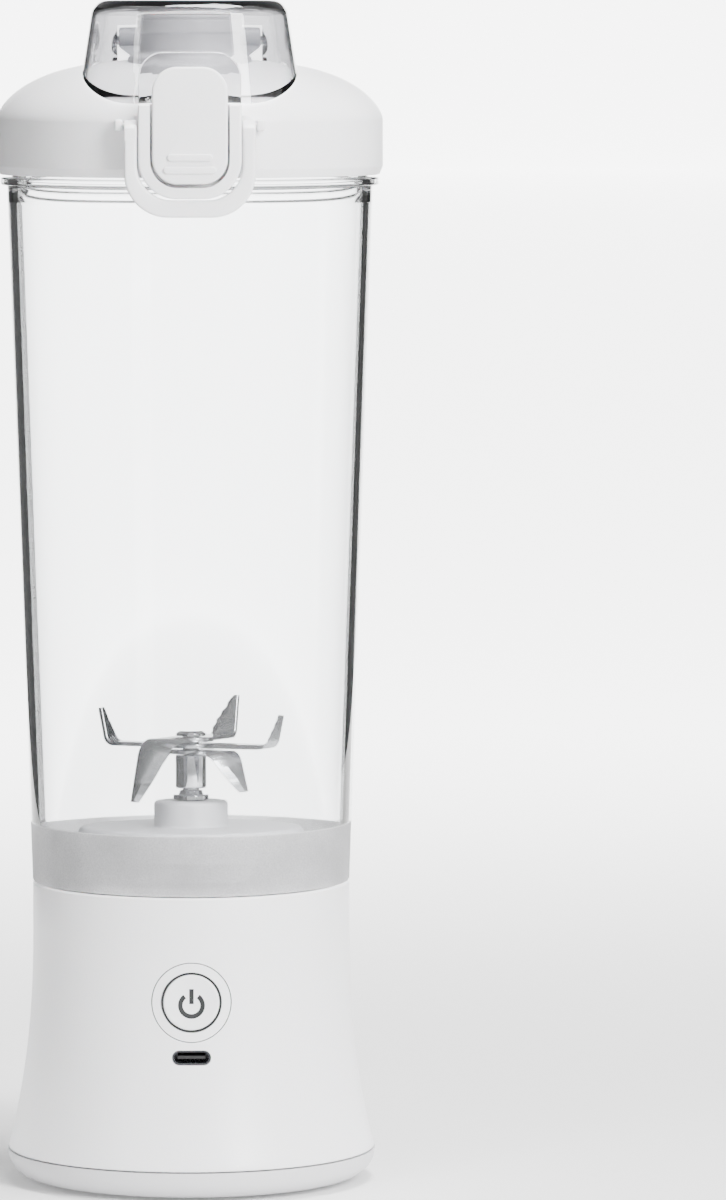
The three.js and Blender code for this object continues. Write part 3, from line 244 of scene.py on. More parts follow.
@dataclass(frozen=True)
class ClearPlastic(Finish):
    """A clear moulded plastic, tinted where light goes through its walls.

    Attributes:
        transmission: Share of light let through.
        frost_top_mm: Height below which the wall is sandblasted, or nothing.
        index: Index of refraction.
        frost_colours: sRGB colours of the blasted wall's low and high spots.
        frost_roughness: Roughness of the blasted wall.
        frost_transmission: Share of light let through the blasted wall.
        frost_edge: Half the width of the masked edge, in metres.
        frost_relief: Depth of the blasting, in metres.
        speckles: Blast marks per metre.
        clouds: Uneven patches of blasting per metre.
        cloud_lift: How far the marks are evened out.
    """

    transmission: float = 1.0
    frost_top_mm: Optional[float] = None
    index: float = 1.46
    frost_colours: tuple[str, str] = ("#606063", "#f0f0f1")
    frost_roughness: float = 0.52
    frost_transmission: float = 0.6
    frost_edge: float = 0.0002
    frost_relief: float = 0.00002
    speckles: float = 2600.0
    clouds: float = 70.0
    cloud_lift: float = 0.22

    def surface(self, tree: Tree, shader: bpy.types.Node) -> None:
        """Wire a clear wall, and its frosted collar if it has one."""
        shader.inputs["IOR"].default_value = self.index
        grain = self.grain(tree)
        clear = blend_colours(tree, grain, linear(self.low_colour), linear(self.colour))
        polish = blend_values(tree, grain, *self.roughness)
        if self.frost_top_mm is None:
            tree.links.new(clear, shader.inputs["Base Color"])
            tree.links.new(polish, shader.inputs["Roughness"])
            shader.inputs["Transmission Weight"].default_value = self.transmission
            return
        place = add_node(tree, "ShaderNodeTexCoord")
        height = add_node(tree, "ShaderNodeSeparateXYZ", {0: place.outputs["Object"]})
        edge = self.frost_top_mm * MM
        steps = {0: height.outputs[2], 1: edge + self.frost_edge, 2: edge - self.frost_edge, 3: 0.0, 4: 1.0}
        frost = add_node(tree, "ShaderNodeMapRange", steps).outputs[0]
        spot = place.outputs["Object"]
        speckle, cloud = (
            add_node(tree, "ShaderNodeTexNoise", {"Vector": spot, "Scale": fine, "Detail": detail}).outputs[0]
            for fine, detail in ((self.speckles, 2.0), (self.clouds, 3.0))
        )
        blasted = add_node(tree, "ShaderNodeMath", {0: speckle, 1: cloud}, operation="MULTIPLY_ADD")
        blasted.inputs[2].default_value = self.cloud_lift
        frosted = blend_colours(tree, blasted.outputs[0], *(linear(c) for c in self.frost_colours))
        colour = blend_colours(tree, frost, clear, frosted)
        rough = add_node(tree, "ShaderNodeMix", {0: frost, 2: polish, 3: self.frost_roughness}).outputs[0]
        through = blend_values(tree, frost, self.transmission, self.frost_transmission)
        tree.links.new(colour, shader.inputs["Base Color"])
        tree.links.new(rough, shader.inputs["Roughness"])
        tree.links.new(through, shader.inputs["Transmission Weight"])
        relief = add_node(tree, "ShaderNodeMath", {0: speckle, 1: frost}, operation="MULTIPLY").outputs[0]
        bump = add_node(
            tree, "ShaderNodeBump", {"Strength": 0.5, "Distance": self.frost_relief, "Height": relief}
        )
        tree.links.new(bump.outputs[0], shader.inputs["Normal"])


class Palette:
    """Every finish on the blender, made once and shared."""

    FINISHES: dict[Slot, Finish] = {
        # injection-moulded ABS from a lightly spark-eroded mould
        Slot.SHELL: Finish(
            "moulded_white_abs", "#ededee", "#e6e6e8", (0.30, 0.38), 0.45, 0.0035, scatter=0.08
        ),
        # the same plastic in grey, moulded with a slightly duller skin
        Slot.UNDERSIDE: Finish("moulded_grey_abs", "#cfcfd1", "#c6c6c8", (0.36, 0.46), 0.45, 0.004),
        # matte moulded grey plastic, etched mould; its grey is partly real and partly darkened as painted
        # shade for the shaded boss inside the cup
        Slot.SEAT: Finish("matte_grey_abs_with_painted_shade", "#a4a4a7", "#98989b", (0.42, 0.55), 0.35, 0.006),
        # polished injection mould, collar masked off and sandblasted
        Slot.CLEAR: ClearPlastic(
            "clear_copolyester", "#fbfcfc", "#f7f8f9", (0.015, 0.03), 6.0, frost_top_mm=86.8
        ),
        # the same copolyester with a smoke dye
        Slot.SMOKE: ClearPlastic("smoke_copolyester", "#c6c6c8", "#c0c0c2", (0.02, 0.045), 5.0),
        # compression-moulded silicone rubber
        Slot.SILICONE: Finish("silicone_rubber", "#d9d9d9", "#cfcfd0", (0.55, 0.7), 0.3, 0.006, scatter=0.15),
        # black moulded plastic, satin
        Slot.DARK: Finish("black_moulded_plastic", "#0e0f11", "#0a0b0d", (0.5, 0.65), 0.4, 0.004),
        # grey glass-filled nylon, satin
        Slot.GREY: Finish("grey_nylon", "#7b7c80", "#6c6d71", (0.38, 0.5), 0.4, 0.005),
        # cold-rolled stainless sheet, brushed along X
        Slot.STEEL: Finish(
            "brushed_stainless", "#c9cacd", "#a9abae", (0.16, 0.30), 0.5, 0.002, (0.06, 1.0, 1.0),
            metallic=1.0,
        ),
        # turned stainless, buffed
        Slot.CHROME: Finish(
            "polished_stainless", "#dcdde0", "#cdced2", (0.05, 0.10), 2.0, 0.001, metallic=1.0
        ),
        # turned brass and enamelled copper wire
        Slot.BRASS: Finish("machined_brass", "#c8ad6c", "#b3965a", (0.22, 0.36), 0.4, 0.003, metallic=1.0),
        # glass-fibre board under solder mask
        Slot.BOARD: Finish("solder_mask_board", "#1f6240", "#174f33", (0.3, 0.42), 0.8, 0.004, coat=0.3),
        # PVC heat-shrink sleeve
        Slot.CELL: Finish("heat_shrink_sleeve", "#3f86bd", "#3676aa", (0.22, 0.34), 1.5, 0.01),
        # pressed and sintered ferrite
        Slot.MAGNET: Finish("sintered_ferrite", "#3b3c3f", "#2d2e31", (0.5, 0.7), 0.5, 0.01),
    }

    def __init__(self) -> None:
        """Start with nothing made."""
        self._made: dict[str, bpy.types.Material] = {}

    def of(self, finish: Finish) -> bpy.types.Material:
        """Return the material for a finish, making it the first time."""
        if finish.name not in self._made:
            self._made[finish.name] = finish.build()
        return self._made[finish.name]

    def slot(self, slot: Slot) -> bpy.types.Material:
        """Return the material for one of the record's slots."""
        return self.of(self.FINISHES[slot])


PALETTE = Palette()

# ---- outlines


def filleted(corners: Sequence[Corner], steps: int = 4, closed: bool = True) -> list[Point2]:
    """Round the corners of an outline.

    Args:
        corners: Points as first coordinate, second coordinate and fillet radius, in mm.
        steps: Segments in each fillet.
        closed: Whether the last point joins the first.

    Returns:
        The rounded outline.
    """
    points: list[Point2] = []
    count = len(corners)
    for i, (x, z, radius) in enumerate(corners):
        if radius <= 0 or (not closed and i in (0, count - 1)):
            points.append((x, z))
            continue
        here = Vector((x, z))
        before = Vector(corners[i - 1][:2]) - here
        after = Vector(corners[(i + 1) % count][:2]) - here
        half = before.angle(after) / 2
        if half > math.radians(89):
            points.append((x, z))
            continue
        reach = min(radius / math.tan(half), before.length * 0.49, after.length * 0.49)
        size = reach * math.tan(half)
        centre = here + (before.normalized() + after.normalized()).normalized() * (size / math.sin(half))
        start = here + before.normalized() * reach - centre
        end = here + after.normalized() * reach - centre
        turn = start.angle_signed(end)
        for k in range(steps + 1):
            spin = Matrix.Rotation(-turn * k / steps, 2)
            spot = centre + spin @ start
            points.append((spot.x, spot.y))
    return points


def pill(
    half_w: float, low: float, high: float, bottom_r: float, top_r: float = 0.0, steps: int = 10
) -> list[Point2]:
    """Outline of a plate with rounded lower corners, and rounded upper ones if asked.

    Args:
        half_w: Half the width.
        low: Lowest height.
        high: Greatest height.
        bottom_r: Radius of the lower corners.
        top_r: Radius of the upper corners.
        steps: Segments in each corner.

    Returns:
        The outline, in mm.
    """
    lower = [(-half_w, low, bottom_r), (half_w, low, bottom_r)]
    return filleted([*lower, (half_w, high, top_r), (-half_w, high, top_r)], steps)


def rod(radius: float, low: float, high: float) -> list[Point2]:
    """Profile of a plain round rod between two heights."""
    return [(0, low), (radius, low), (radius, high), (0, high)]


# ---- meshes


class Mesher:
    """Turns outlines into objects that sit at the origin."""

    @staticmethod
    def finish(name: str, bm: BMesh, slot: Slot, smooth_deg: float = 32.0) -> Obj:
        """Close a bmesh off into an object with its material and shading.

        Args:
            name: Object name.
            bm: The mesh, in mm; it is freed here.
            slot: The slot that the finish comes from.
            smooth_deg: Edges sharper than this stay sharp.

        Returns:
            The object, linked to the scene.
        """
        bmesh.ops.remove_doubles(bm, verts=bm.verts, dist=1e-4)
        bmesh.ops.recalc_face_normals(bm, faces=bm.faces)
        bmesh.ops.scale(bm, vec=(MM, MM, MM), verts=bm.verts)
        mesh = bpy.data.meshes.new(name)
        bm.to_mesh(mesh)
        bm.free()
        made = bpy.data.objects.new(name, mesh)
        bpy.context.scene.collection.objects.link(made)
        mesh.materials.append(PALETTE.slot(slot))
        Mesher.shade(made, smooth_deg)
        return made

    @staticmethod
    def shade(made: Obj, smooth_deg: float = 32.0) -> None:
        """Shade an object smooth, apart from its sharper edges."""
        made.data.polygons.foreach_set("use_smooth", [True] * len(made.data.polygons))
        made.data.set_sharp_from_angle(angle=math.radians(smooth_deg))

    @staticmethod
    def rounded(bm: BMesh, edges: list, offset: float, segments: int, clamp: bool) -> None:
        """Round the given edges, stopping short of overlaps if asked."""
        bmesh.ops.bevel(
            bm, geom=edges, offset=offset, segments=segments, profile=0.5,
            affect="EDGES", material=-1, clamp_overlap=clamp,
        )

    @staticmethod
    def lathe(
        name: str, profile: Sequence[Point2], slot: Slot, segments: int = 160, centre: Point2 = (0.0, 0.0)
    ) -> Obj:
        """Spin a closed profile of radius and height about an upright axis.

        Args:
            name: Object name.
            profile: Radius and height, in mm.
            slot: Material slot.
            segments: Segments round the turn.
            centre: Where the axis stands, in mm.

        Returns:
            The turned object.
        """
        bm = bmesh.new()
        verts = [bm.verts.new((r, 0, z)) for r, z in profile]
        edges = []
        for i, vert in enumerate(verts):
            after = verts[(i + 1) % len(verts)]
            if vert.co.x < 1e-6 and after.co.x < 1e-6:
                continue
            edges.append(bm.edges.new((vert, after)))
        bmesh.ops.spin(
            bm, geom=verts + edges, cent=(0, 0, 0), axis=(0, 0, 1), angle=2 * math.pi,
            steps=segments, use_merge=True,
        )
        bmesh.ops.translate(bm, vec=(centre[0], centre[1], 0), verts=bm.verts)
        return Mesher.finish(name, bm, slot)

    @staticmethod
    def plate(
        name: str, outline: Sequence[Point2], front: float, back: float, slot: Slot, bevel: float = 0.0,
        segments: int = 4, hole: Optional[Sequence[Point2]] = None,
    ) -> Obj:
        """Extrude an outline drawn in x and z from y = front to y = back, with rounded rims.

        Args:
            name: Object name.
            outline: Points in mm.
            front: Depth of the front face.
            back: Depth of the back face.
            slot: Material slot.
            bevel: Radius of the rims.
            segments: Segments in each rim.
            hole: Inner outline with as many points, bridged to the outer one.

        Returns:
            The plate.
        """
        bm = bmesh.new()
        outer = [bm.verts.new((x, front, z)) for x, z in outline]
        if hole is None:
            faces = [bm.faces.new(outer)]
        else:
            inner = [bm.verts.new((x, front, z)) for x, z in hole]
            faces = []
            for i in range(len(outer) - 1):
                faces.append(bm.faces.new((outer[i], outer[i + 1], inner[i + 1], inner[i])))
        moved = bmesh.ops.extrude_face_region(bm, geom=faces)["geom"]
        bmesh.ops.translate(
            bm, vec=(0, back - front, 0), verts=[g for g in moved if isinstance(g, bmesh.types.BMVert)]
        )
        bmesh.ops.recalc_face_normals(bm, faces=bm.faces)
        if bevel:
            rims = [
                e
                for e in bm.edges
                if len(e.link_faces) == 2
                and e.calc_face_angle(0) > math.radians(50)
                and abs(e.verts[0].co.y - e.verts[1].co.y) < 1e-6
            ]
            Mesher.rounded(bm, rims, bevel, segments, True)
        return Mesher.finish(name, bm, slot)

    @staticmethod
    def block(name: str, low: Sequence[float], high: Sequence[float], slot: Slot, bevel: float = 0.0) -> Obj:
        """Make a box between two corners, in mm, with rounded edges if asked."""
        bm = bmesh.new()
        bmesh.ops.create_cube(bm, size=1.0)
        bmesh.ops.scale(bm, vec=[b - a for a, b in zip(low, high)], verts=bm.verts)
        bmesh.ops.translate(bm, vec=[(a + b) / 2 for a, b in zip(low, high)], verts=bm.verts)
        if bevel:
            Mesher.rounded(bm, list(bm.edges), bevel, 3, False)
        return Mesher.finish(name, bm, slot)

    @staticmethod
    def laid(made: Obj, turn: Matrix, at: Sequence[float] = (0, 0, 0)) -> Obj:
        """Turn and move an object's own vertices; the place is in mm."""
        made.data.transform(Matrix.Translation(Vector(at) * MM) @ turn.to_4x4())
        return made


class Carver:
    """Joins and cuts objects with exact booleans."""

    @staticmethod
    def apply(target: Obj, tools: Sequence[Obj], operation: str) -> Obj:
        """Apply one boolean for each tool and remove the tools.

        Args:
            target: The object to change.
            tools: The objects to join or cut with.
            operation: UNION, DIFFERENCE or INTERSECT.

        Returns:
            The changed target.
        """
        for tool in tools:
            change = target.modifiers.new("carve", "BOOLEAN")
            change.operation = operation
            change.solver = "EXACT"
            change.object = tool
            bpy.context.view_layer.update()
            carved = target.evaluated_get(bpy.context.evaluated_depsgraph_get())
            shaped = bpy.data.meshes.new_from_object(carved)
            target.modifiers.clear()
            old, target.data = target.data, shaped
            bpy.data.meshes.remove(old)
            bpy.data.objects.remove(tool)
        Mesher.shade(target)
        return target

    @staticmethod
    def cut(target: Obj, *tools: Obj) -> Obj:
        """Take the tools away from the target."""
        return Carver.apply(target, tools, "DIFFERENCE")

    @staticmethod
    def join(target: Obj, *tools: Obj) -> Obj:
        """Add the tools to the target."""
        return Carver.apply(target, tools, "UNION")


@dataclass
class Piece:
    """One visible piece: its object, the body it rides on and the CAD nodes it stands for."""

    made: Obj
    body: Body
    slot: Slot
    stands_for: tuple[str, ...] = ()

    def place(self) -> None:
        """Register the piece with the frame; clear plastic lets light through to what it covers."""
        self.made.visible_shadow = self.slot not in (Slot.CLEAR, Slot.SMOKE)
        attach(self.made, self.body.value)
        if self.stands_for:
            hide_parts(*self.stands_for)
        LOG.info("%s rides on %s, %d faces", self.made.name, self.body.value, len(self.made.data.polygons))


@dataclass
class Assembly:
    """A group of pieces that are built together."""

    pieces: list[Piece] = field(default_factory=list)

    def add(self, made: Obj, body: Body, slot: Slot, *stands_for: str) -> None:
        """Add a piece to the group.

        Args:
            made: The piece's object.
            body: The body it rides on.
            slot: Its material slot.
            *stands_for: The CAD nodes it stands for.
        """
        self.pieces.append(Piece(made, body, slot, stands_for))


# ---- motor base


@dataclass
class MotorBase(Assembly):
    """The flared shell, its grey bottom cap, the foot pad and the power button.

    Attributes:
        waist_r: Radius at the top of the shell.
        foot_r: Radius at the seam over the bottom cap.
        seam_z: Height of the seam.
        flare_z: Height where the flare runs out.
        top_z: Top of the shell.
        flare_power: How late the shell flares out.
        wall: Thickness of the shell.
        button_z: Height of the button's axis.
        port_z: Height of the charging port.
    """

    waist_r: float = 38.3
    foot_r: float = 44.5
    seam_z: float = 7.2
    flare_z: float = 61.8
    top_z: float = 72.0
    flare_power: float = 2.35
    wall: float = 2.2
    button_z: float = 47.3
    port_z: float = 34.2

    def radius(self, z: float) -> float:
        """Return the shell's outer radius at a height."""
        share = max(0.0, (self.flare_z - z) / (self.flare_z - self.seam_z))
        return self.waist_r + (self.foot_r - self.waist_r) * share**self.flare_power

    def shell(self) -> None:
        """Turn the shell and open it for the button and the charging port."""
        low = self.seam_z + 0.3
        heights = [low + (self.flare_z - low) * i / 28 for i in range(29)]
        outer: list[Corner] = [(self.radius(z), z, 0.0) for z in heights]
        outer[0] = (outer[0][0], low, 0.35)
        rim = [
            (self.waist_r, self.top_z, 0.45), (35.3, self.top_z, 0.2), (35.3, 70.2, 0.0),
            (self.waist_r - self.wall, 70.2, 0.0),
        ]
        inner = [(self.radius(z) - self.wall, z, 0.0) for z in reversed(heights)]
        body = Mesher.lathe("base_shell_look", filleted(outer + rim + inner), Slot.SHELL, 192)
        button = Mesher.laid(
            Mesher.lathe("button_tool", rod(9.55, -20, 20), Slot.SHELL, 96),
            UPRIGHT,
            (0, -45, self.button_z),
        )
        port = Mesher.plate(
            "port_tool", pill(4.65, self.port_z - 1.8, self.port_z + 1.8, 1.79, 1.79), -60, -30, Slot.SHELL
        )
        Carver.cut(body, button, port)
        self.add(body, Body.BASE, Slot.SHELL, "base_shell")

    def bottom(self) -> None:
        """Turn the rounded bottom cap and the foot pad."""
        edge = [
            (37.9 + 6.6 * math.cos(math.radians(a)), 7.2 + 6.6 * math.sin(math.radians(a)), 0.0)
            for a in range(-90, 1, 6)
        ]
        profile = [
            (0, 1.6, 0), (30.3, 1.6, 0.1), (30.3, 0.6, 0.2), *edge, (41, 7.2, 0), (41, 10.5, 0.3),
            (39.4, 10.5, 0.3), (39.4, 3.6, 0), (0, 3.6, 0),
        ]
        cap = Mesher.lathe("bottom_cap_look", filleted(profile), Slot.UNDERSIDE, 192)
        wells = []
        for angle in (90, 210, 330):
            spot = (34.2 * math.cos(math.radians(angle)), 34.2 * math.sin(math.radians(angle)))
            wells.append(Mesher.lathe("well_tool", rod(3, -5, 2.4), Slot.UNDERSIDE, 40, spot))
        Carver.cut(cap, *wells)
        self.add(cap, Body.BASE, Slot.UNDERSIDE, "base_bottom_cap")
        pad = filleted([(0, 0, 0), (30, 0, 0.6), (30, 1.3, 0.1), (0, 1.3, 0)])
        made = Mesher.lathe("foot_pad_look", pad, Slot.SILICONE, 128)
        self.add(made, Body.BASE, Slot.SILICONE, "foot_pad")

    def dish(self, r: float) -> float:
        """Return the depth of the button's concave face at a distance from its axis."""
        return -38.45 + 0.5 * max(0.0, 1 - (r / 6.05) ** 2)

    def button(self) -> None:
        """Turn the bezel, the grey ring and the dished button, and print the power symbol on it."""
        spot = (0, 0, self.button_z)
        band = [(9.3, 36.4), (9.3, 44), (7.22, 44), (7.22, 36.4)]
        bezel = Mesher.laid(Mesher.lathe("bezel_look", band, Slot.SHELL, 128), UPRIGHT, spot)
        flare = [(self.radius(z) - 0.02, z) for z in range(9, 72)]
        outside = [(0, 9), *flare, (self.waist_r - 0.02, 72), (0, 72)]
        envelope = Mesher.lathe("shell_tool", outside, Slot.SHELL, 256)
        Carver.apply(bezel, [envelope], "INTERSECT")
        self.add(bezel, Body.BASE, Slot.SHELL, "button_bezel")
        band = filleted([(7.2, 36.6, 0), (7.2, 38.2, 0.1), (6.68, 38.2, 0.1), (6.68, 36.6, 0)])
        ring = Mesher.laid(Mesher.lathe("light_ring_look", band, Slot.DARK, 96), UPRIGHT, spot)
        self.add(ring, Body.BASE, Slot.DARK, "light_ring")
        face = [(r, -self.dish(r)) for r in [6.05 * i / 14 for i in range(15)]]
        rim = [(6.35, 38.44), (6.57, 38.32), (6.64, 38.1), (6.64, 36.9), (1.9, 36.9), (1.9, 35.2), (0, 35.2)]
        disc = Mesher.laid(Mesher.lathe("power_button_look", face + rim, Slot.SHELL, 96), UPRIGHT, spot)
        self.add(disc, Body.POWER_KEY, Slot.SHELL, "power_button")
        self.symbol()

    def symbol(self) -> None:
        """Lay the printed power symbol, an open ring and a bar, on the dished face."""
        bm = bmesh.new()
        arc = [math.radians(90 + 37 + (360 - 74) * i / 60) for i in range(61)]
        ring = [
            ((2.1 * math.cos(a), 2.1 * math.sin(a) - 0.7), (3.2 * math.cos(a), 3.2 * math.sin(a) - 0.7))
            for a in arc
        ]
        bar = [((-0.54, 3.6 * i / 8 - 0.4), (0.54, 3.6 * i / 8 - 0.4)) for i in range(9)]
        for strip in (ring, bar):
            rows = [
                [
                    bm.verts.new((x, self.dish(math.hypot(x, z)) - 0.02, z + self.button_z))
                    for x, z in pair
                ]
                for pair in strip
            ]
            for one, two in zip(rows, rows[1:]):
                bm.faces.new((one[0], one[1], two[1], two[0]))
        bmesh.ops.recalc_face_normals(bm, faces=bm.faces)
        bmesh.ops.solidify(bm, geom=list(bm.faces), thickness=0.015)
        made = Mesher.finish("power_symbol", bm, Slot.DARK)
        self.add(made, Body.POWER_KEY, Slot.DARK)

    def build(self) -> list[Piece]:
        """Make the base's pieces and return them."""
        self.shell()
        self.bottom()
        self.button()
        return self.pieces


@dataclass
class BladeSeat(Assembly):
    """The threaded neck, the platform and the bearing boss, with the seal's steel cap on top."""

    def build(self) -> list[Piece]:
        """Turn the seat and the seal's cap and return them."""
        threads: list[Corner] = []
        for i in range(2):
            z = 75 + i * 4.4
            threads += [(35, z, 0.1), (35.55, z + 0.7, 0.3), (35, z + 1.4, 0.1)]
        profile = [
            (35.9, 67.9, 0), (35.9, 69.9, 0), (35, 69.9, 0), *threads, (35, 83.5, 0.5), (32.8, 83.5, 0.6),
            (32.8, 72, 0.8), (27.2, 72, 0.8), (27.2, 86.7, 1.6), (8.9, 86.7, 0.6), (8.9, 93, 0.9),
            (3.4, 93, 0.2), (3.4, 91.6, 0), (6.65, 91.6, 0), (6.65, 75.6, 0), (8.9, 75.6, 0),
            (8.9, 84.7, 0), (25.2, 84.7, 0), (25.2, 67.9, 0),
        ]
        seat = Mesher.lathe("blade_seat_look", filleted(profile, 5), Slot.SEAT, 160)
        self.add(seat, Body.BASE, Slot.SEAT, "blade_seat")
        cap = [
            (4.3, 93.3, 0), (4.3, 94.5, 0.35), (3.0, 94.5, 0.2), (2.6, 95.6, 0.3), (2.15, 95.6, 0),
            (2.15, 93.3, 0),
        ]
        made = Mesher.lathe("seal_cap_look", filleted(cap), Slot.CHROME, 96)
        self.add(made, Body.BASE, Slot.CHROME, "seal_retainer")
        return self.pieces


# ---- rotor


@dataclass(frozen=True)
class Arm:
    """One blade arm, bent up or down at the end of its flat reach.

    Attributes:
        azimuth: Direction of the arm in degrees.
        reach: Length of the flat part.
        bend_r: Radius of the bend.
        bend: Angle of the bend, positive upward.
        tip: Length beyond the bend.
        root: Width at the hub.
        mid: Width past the bend.
        narrowing: How sharply the arm narrows past the bend.
        side: Which side keeps its full width, +1 or -1.
        teeth: How many notches are ground into the cutting edge.
    """

    azimuth: float
    reach: float
    bend_r: float
    bend: float
    tip: float
    root: float
    mid: float
    narrowing: float
    side: int = 1
    teeth: int = 0


@dataclass
class Rotor(Assembly):
    """The sleeve, three stampings of two arms each, and the dome nut.

    Attributes:
        thickness: Thickness of the sheet.
        stations: Sections along each arm.
    """

    thickness: float = 1.0
    stations: int = 72

    ARMS = {
        "blade_lower": (
            104.4,
            (Arm(-52, 11, 3, -70, 7.6, 9, 8.6, 1.48), Arm(128, 11, 3, -70, 7.6, 9, 8.6, 1.48)),
        ),
        "blade_middle": (
            105.9,
            (
                Arm(152, 19.6, 2, 78, 7.2, 7.6, 7.4, 1.38, 1, 11),
                Arm(-28, 19.6, 2, 78, 6, 7.6, 7.4, 1.38, 1, 11),
            ),
        ),
        "blade_top": (
            107.4,
            (
                Arm(62, 14.6, 1.8, 80, 8.4, 8, 7.6, 1.58, -1, 8),
                Arm(236, 11, 5, -74, 11.2, 9.4, 8.8, 1.58, -1),
            ),
        ),
    }

    def arm(self, bm: BMesh, arm: Arm, low: float) -> None:
        """Skin one arm: a flat back, a ground bevel and a thin, notched cutting edge.

        Args:
            bm: The stamping's mesh.
            arm: The arm's sizes.
            low: Height of the stamping's underside.
        """
        arc = arm.bend_r * math.radians(abs(arm.bend))
        length = arm.reach + arc + arm.tip
        sign = math.copysign(1, arm.bend)
        half = self.thickness / 2
        rows = []
        for i in range(self.stations + 1):
            along = length * i / self.stations
            share = along / length
            lead = arm.root / 2 + (arm.mid - arm.root) / 2 * share
            past = max(0.0, along - arm.reach) / (arc + arm.tip)
            trail = lead * (1 - arm.narrowing * past**1.6) - 0.02
            notch = 0.0
            if arm.teeth and 0.3 < share < 0.92:
                notch = 0.55 * abs(math.sin(math.pi * arm.teeth * (share - 0.3) / 0.62)) ** 0.7
            width = lead + trail
            ground = min(2.2, width * 0.45)
            section = [
                (lead - 0.1, half - 0.1), (lead, half - 0.25), (lead, -half + 0.1), (lead - 0.1, -half),
                (-trail + notch, -half), (-trail + notch, -half + 0.14), (-trail + ground, half),
                (lead - 0.25, half),
            ]
            turn = min(max(along - arm.reach, 0), arc) / arm.bend_r
            beyond = max(along - arm.reach - arc, 0)
            out = min(along, arm.reach) + arm.bend_r * math.sin(turn) + beyond * math.cos(turn)
            rise = arm.bend_r * (1 - math.cos(turn)) + beyond * math.sin(turn)
            row = []
            for across, off in section:
                reach = out - sign * off * math.sin(turn)
                spot = Vector((reach, arm.side * across, sign * rise + off * math.cos(turn)))
                spot = Matrix.Rotation(math.radians(arm.azimuth), 3, "Z") @ spot
                row.append(bm.verts.new(spot + Vector((0, 0, low + half))))
            rows.append(row)
        for one, two in zip(rows, rows[1:]):
            for k in range(len(one)):
                j = (k + 1) % len(one)
                bm.faces.new((one[k], one[j], two[j], two[k]))
        bm.faces.new(rows[0])
        bm.faces.new(list(reversed(rows[-1])))

    def stamping(self, name: str, low: float, arms: Sequence[Arm]) -> None:
        """Make one stamping: two arms and the hub washer between them."""
        bm = bmesh.new()
        for arm in arms:
            self.arm(bm, arm, low)
        made = Mesher.finish(f"{name}_look", bm, Slot.STEEL, 24)
        top = low + self.thickness + 0.02
        hub = filleted([(5.6, low - 0.01, 0.1), (5.6, top, 0.2), (2.1, top, 0), (2.1, low - 0.01, 0)])
        washer = Mesher.lathe(f"{name}_hub_look", hub, Slot.STEEL, 64)
        self.add(made, Body.ROTOR, Slot.STEEL, name)
        self.add(washer, Body.ROTOR, Slot.STEEL)

    def build(self) -> list[Piece]:
        """Make the rotor's visible pieces and return them."""
        for name, (low, arms) in self.ARMS.items():
            self.stamping(name, low, arms)
        sleeve = filleted([(3.7, 96, 0.4), (3.7, 104.1, 0.4), (2.1, 104.1, 0), (2.1, 96, 0)], 5)
        made = Mesher.lathe("sleeve_look", sleeve, Slot.CHROME, 96)
        self.add(made, Body.ROTOR, Slot.CHROME, "spacer_sleeve")
        dome = [
            (2.1, 108.7, 0), (3.6, 108.7, 0), (3.6, 109.3, 0.25), (2.7, 109.9, 0.5), (0, 109.9, 0),
            (0, 109.55, 0), (2.1, 109.55, 0),
        ]
        nut = Mesher.lathe("dome_nut_look", filleted(dome, 5), Slot.CHROME, 96)
        self.add(nut, Body.ROTOR, Slot.CHROME, "blade_nut")
        return self.pieces


# ---- cup


@dataclass
class ClearCup(Assembly):
    """The clear tapered cup with its frosted collar, bead and neck."""

    def build(self) -> list[Piece]:
        """Turn the cup and return it."""
        profile = [
            (38.3, 72.5, 0.4), (43.9, 240.3, 0.3), (45.5, 240.3, 0.5), (45.5, 242.2, 0.5), (42.8, 242.2, 0.2),
            (42.8, 253.6, 0.5), (40.9, 253.6, 0.5), (41.7, 236.3, 4.0), (36.1, 74.9, 0.0), (36.1, 73.9, 0.2),
            (37.2, 73.9, 0.0), (37.2, 72.5, 0.2),
        ]
        made = Mesher.lathe("cup_look", filleted(profile, 6), Slot.CLEAR, 192)
        self.add(made, Body.CUP, Slot.CLEAR, "cup")
        return self.pieces


# ---- lid


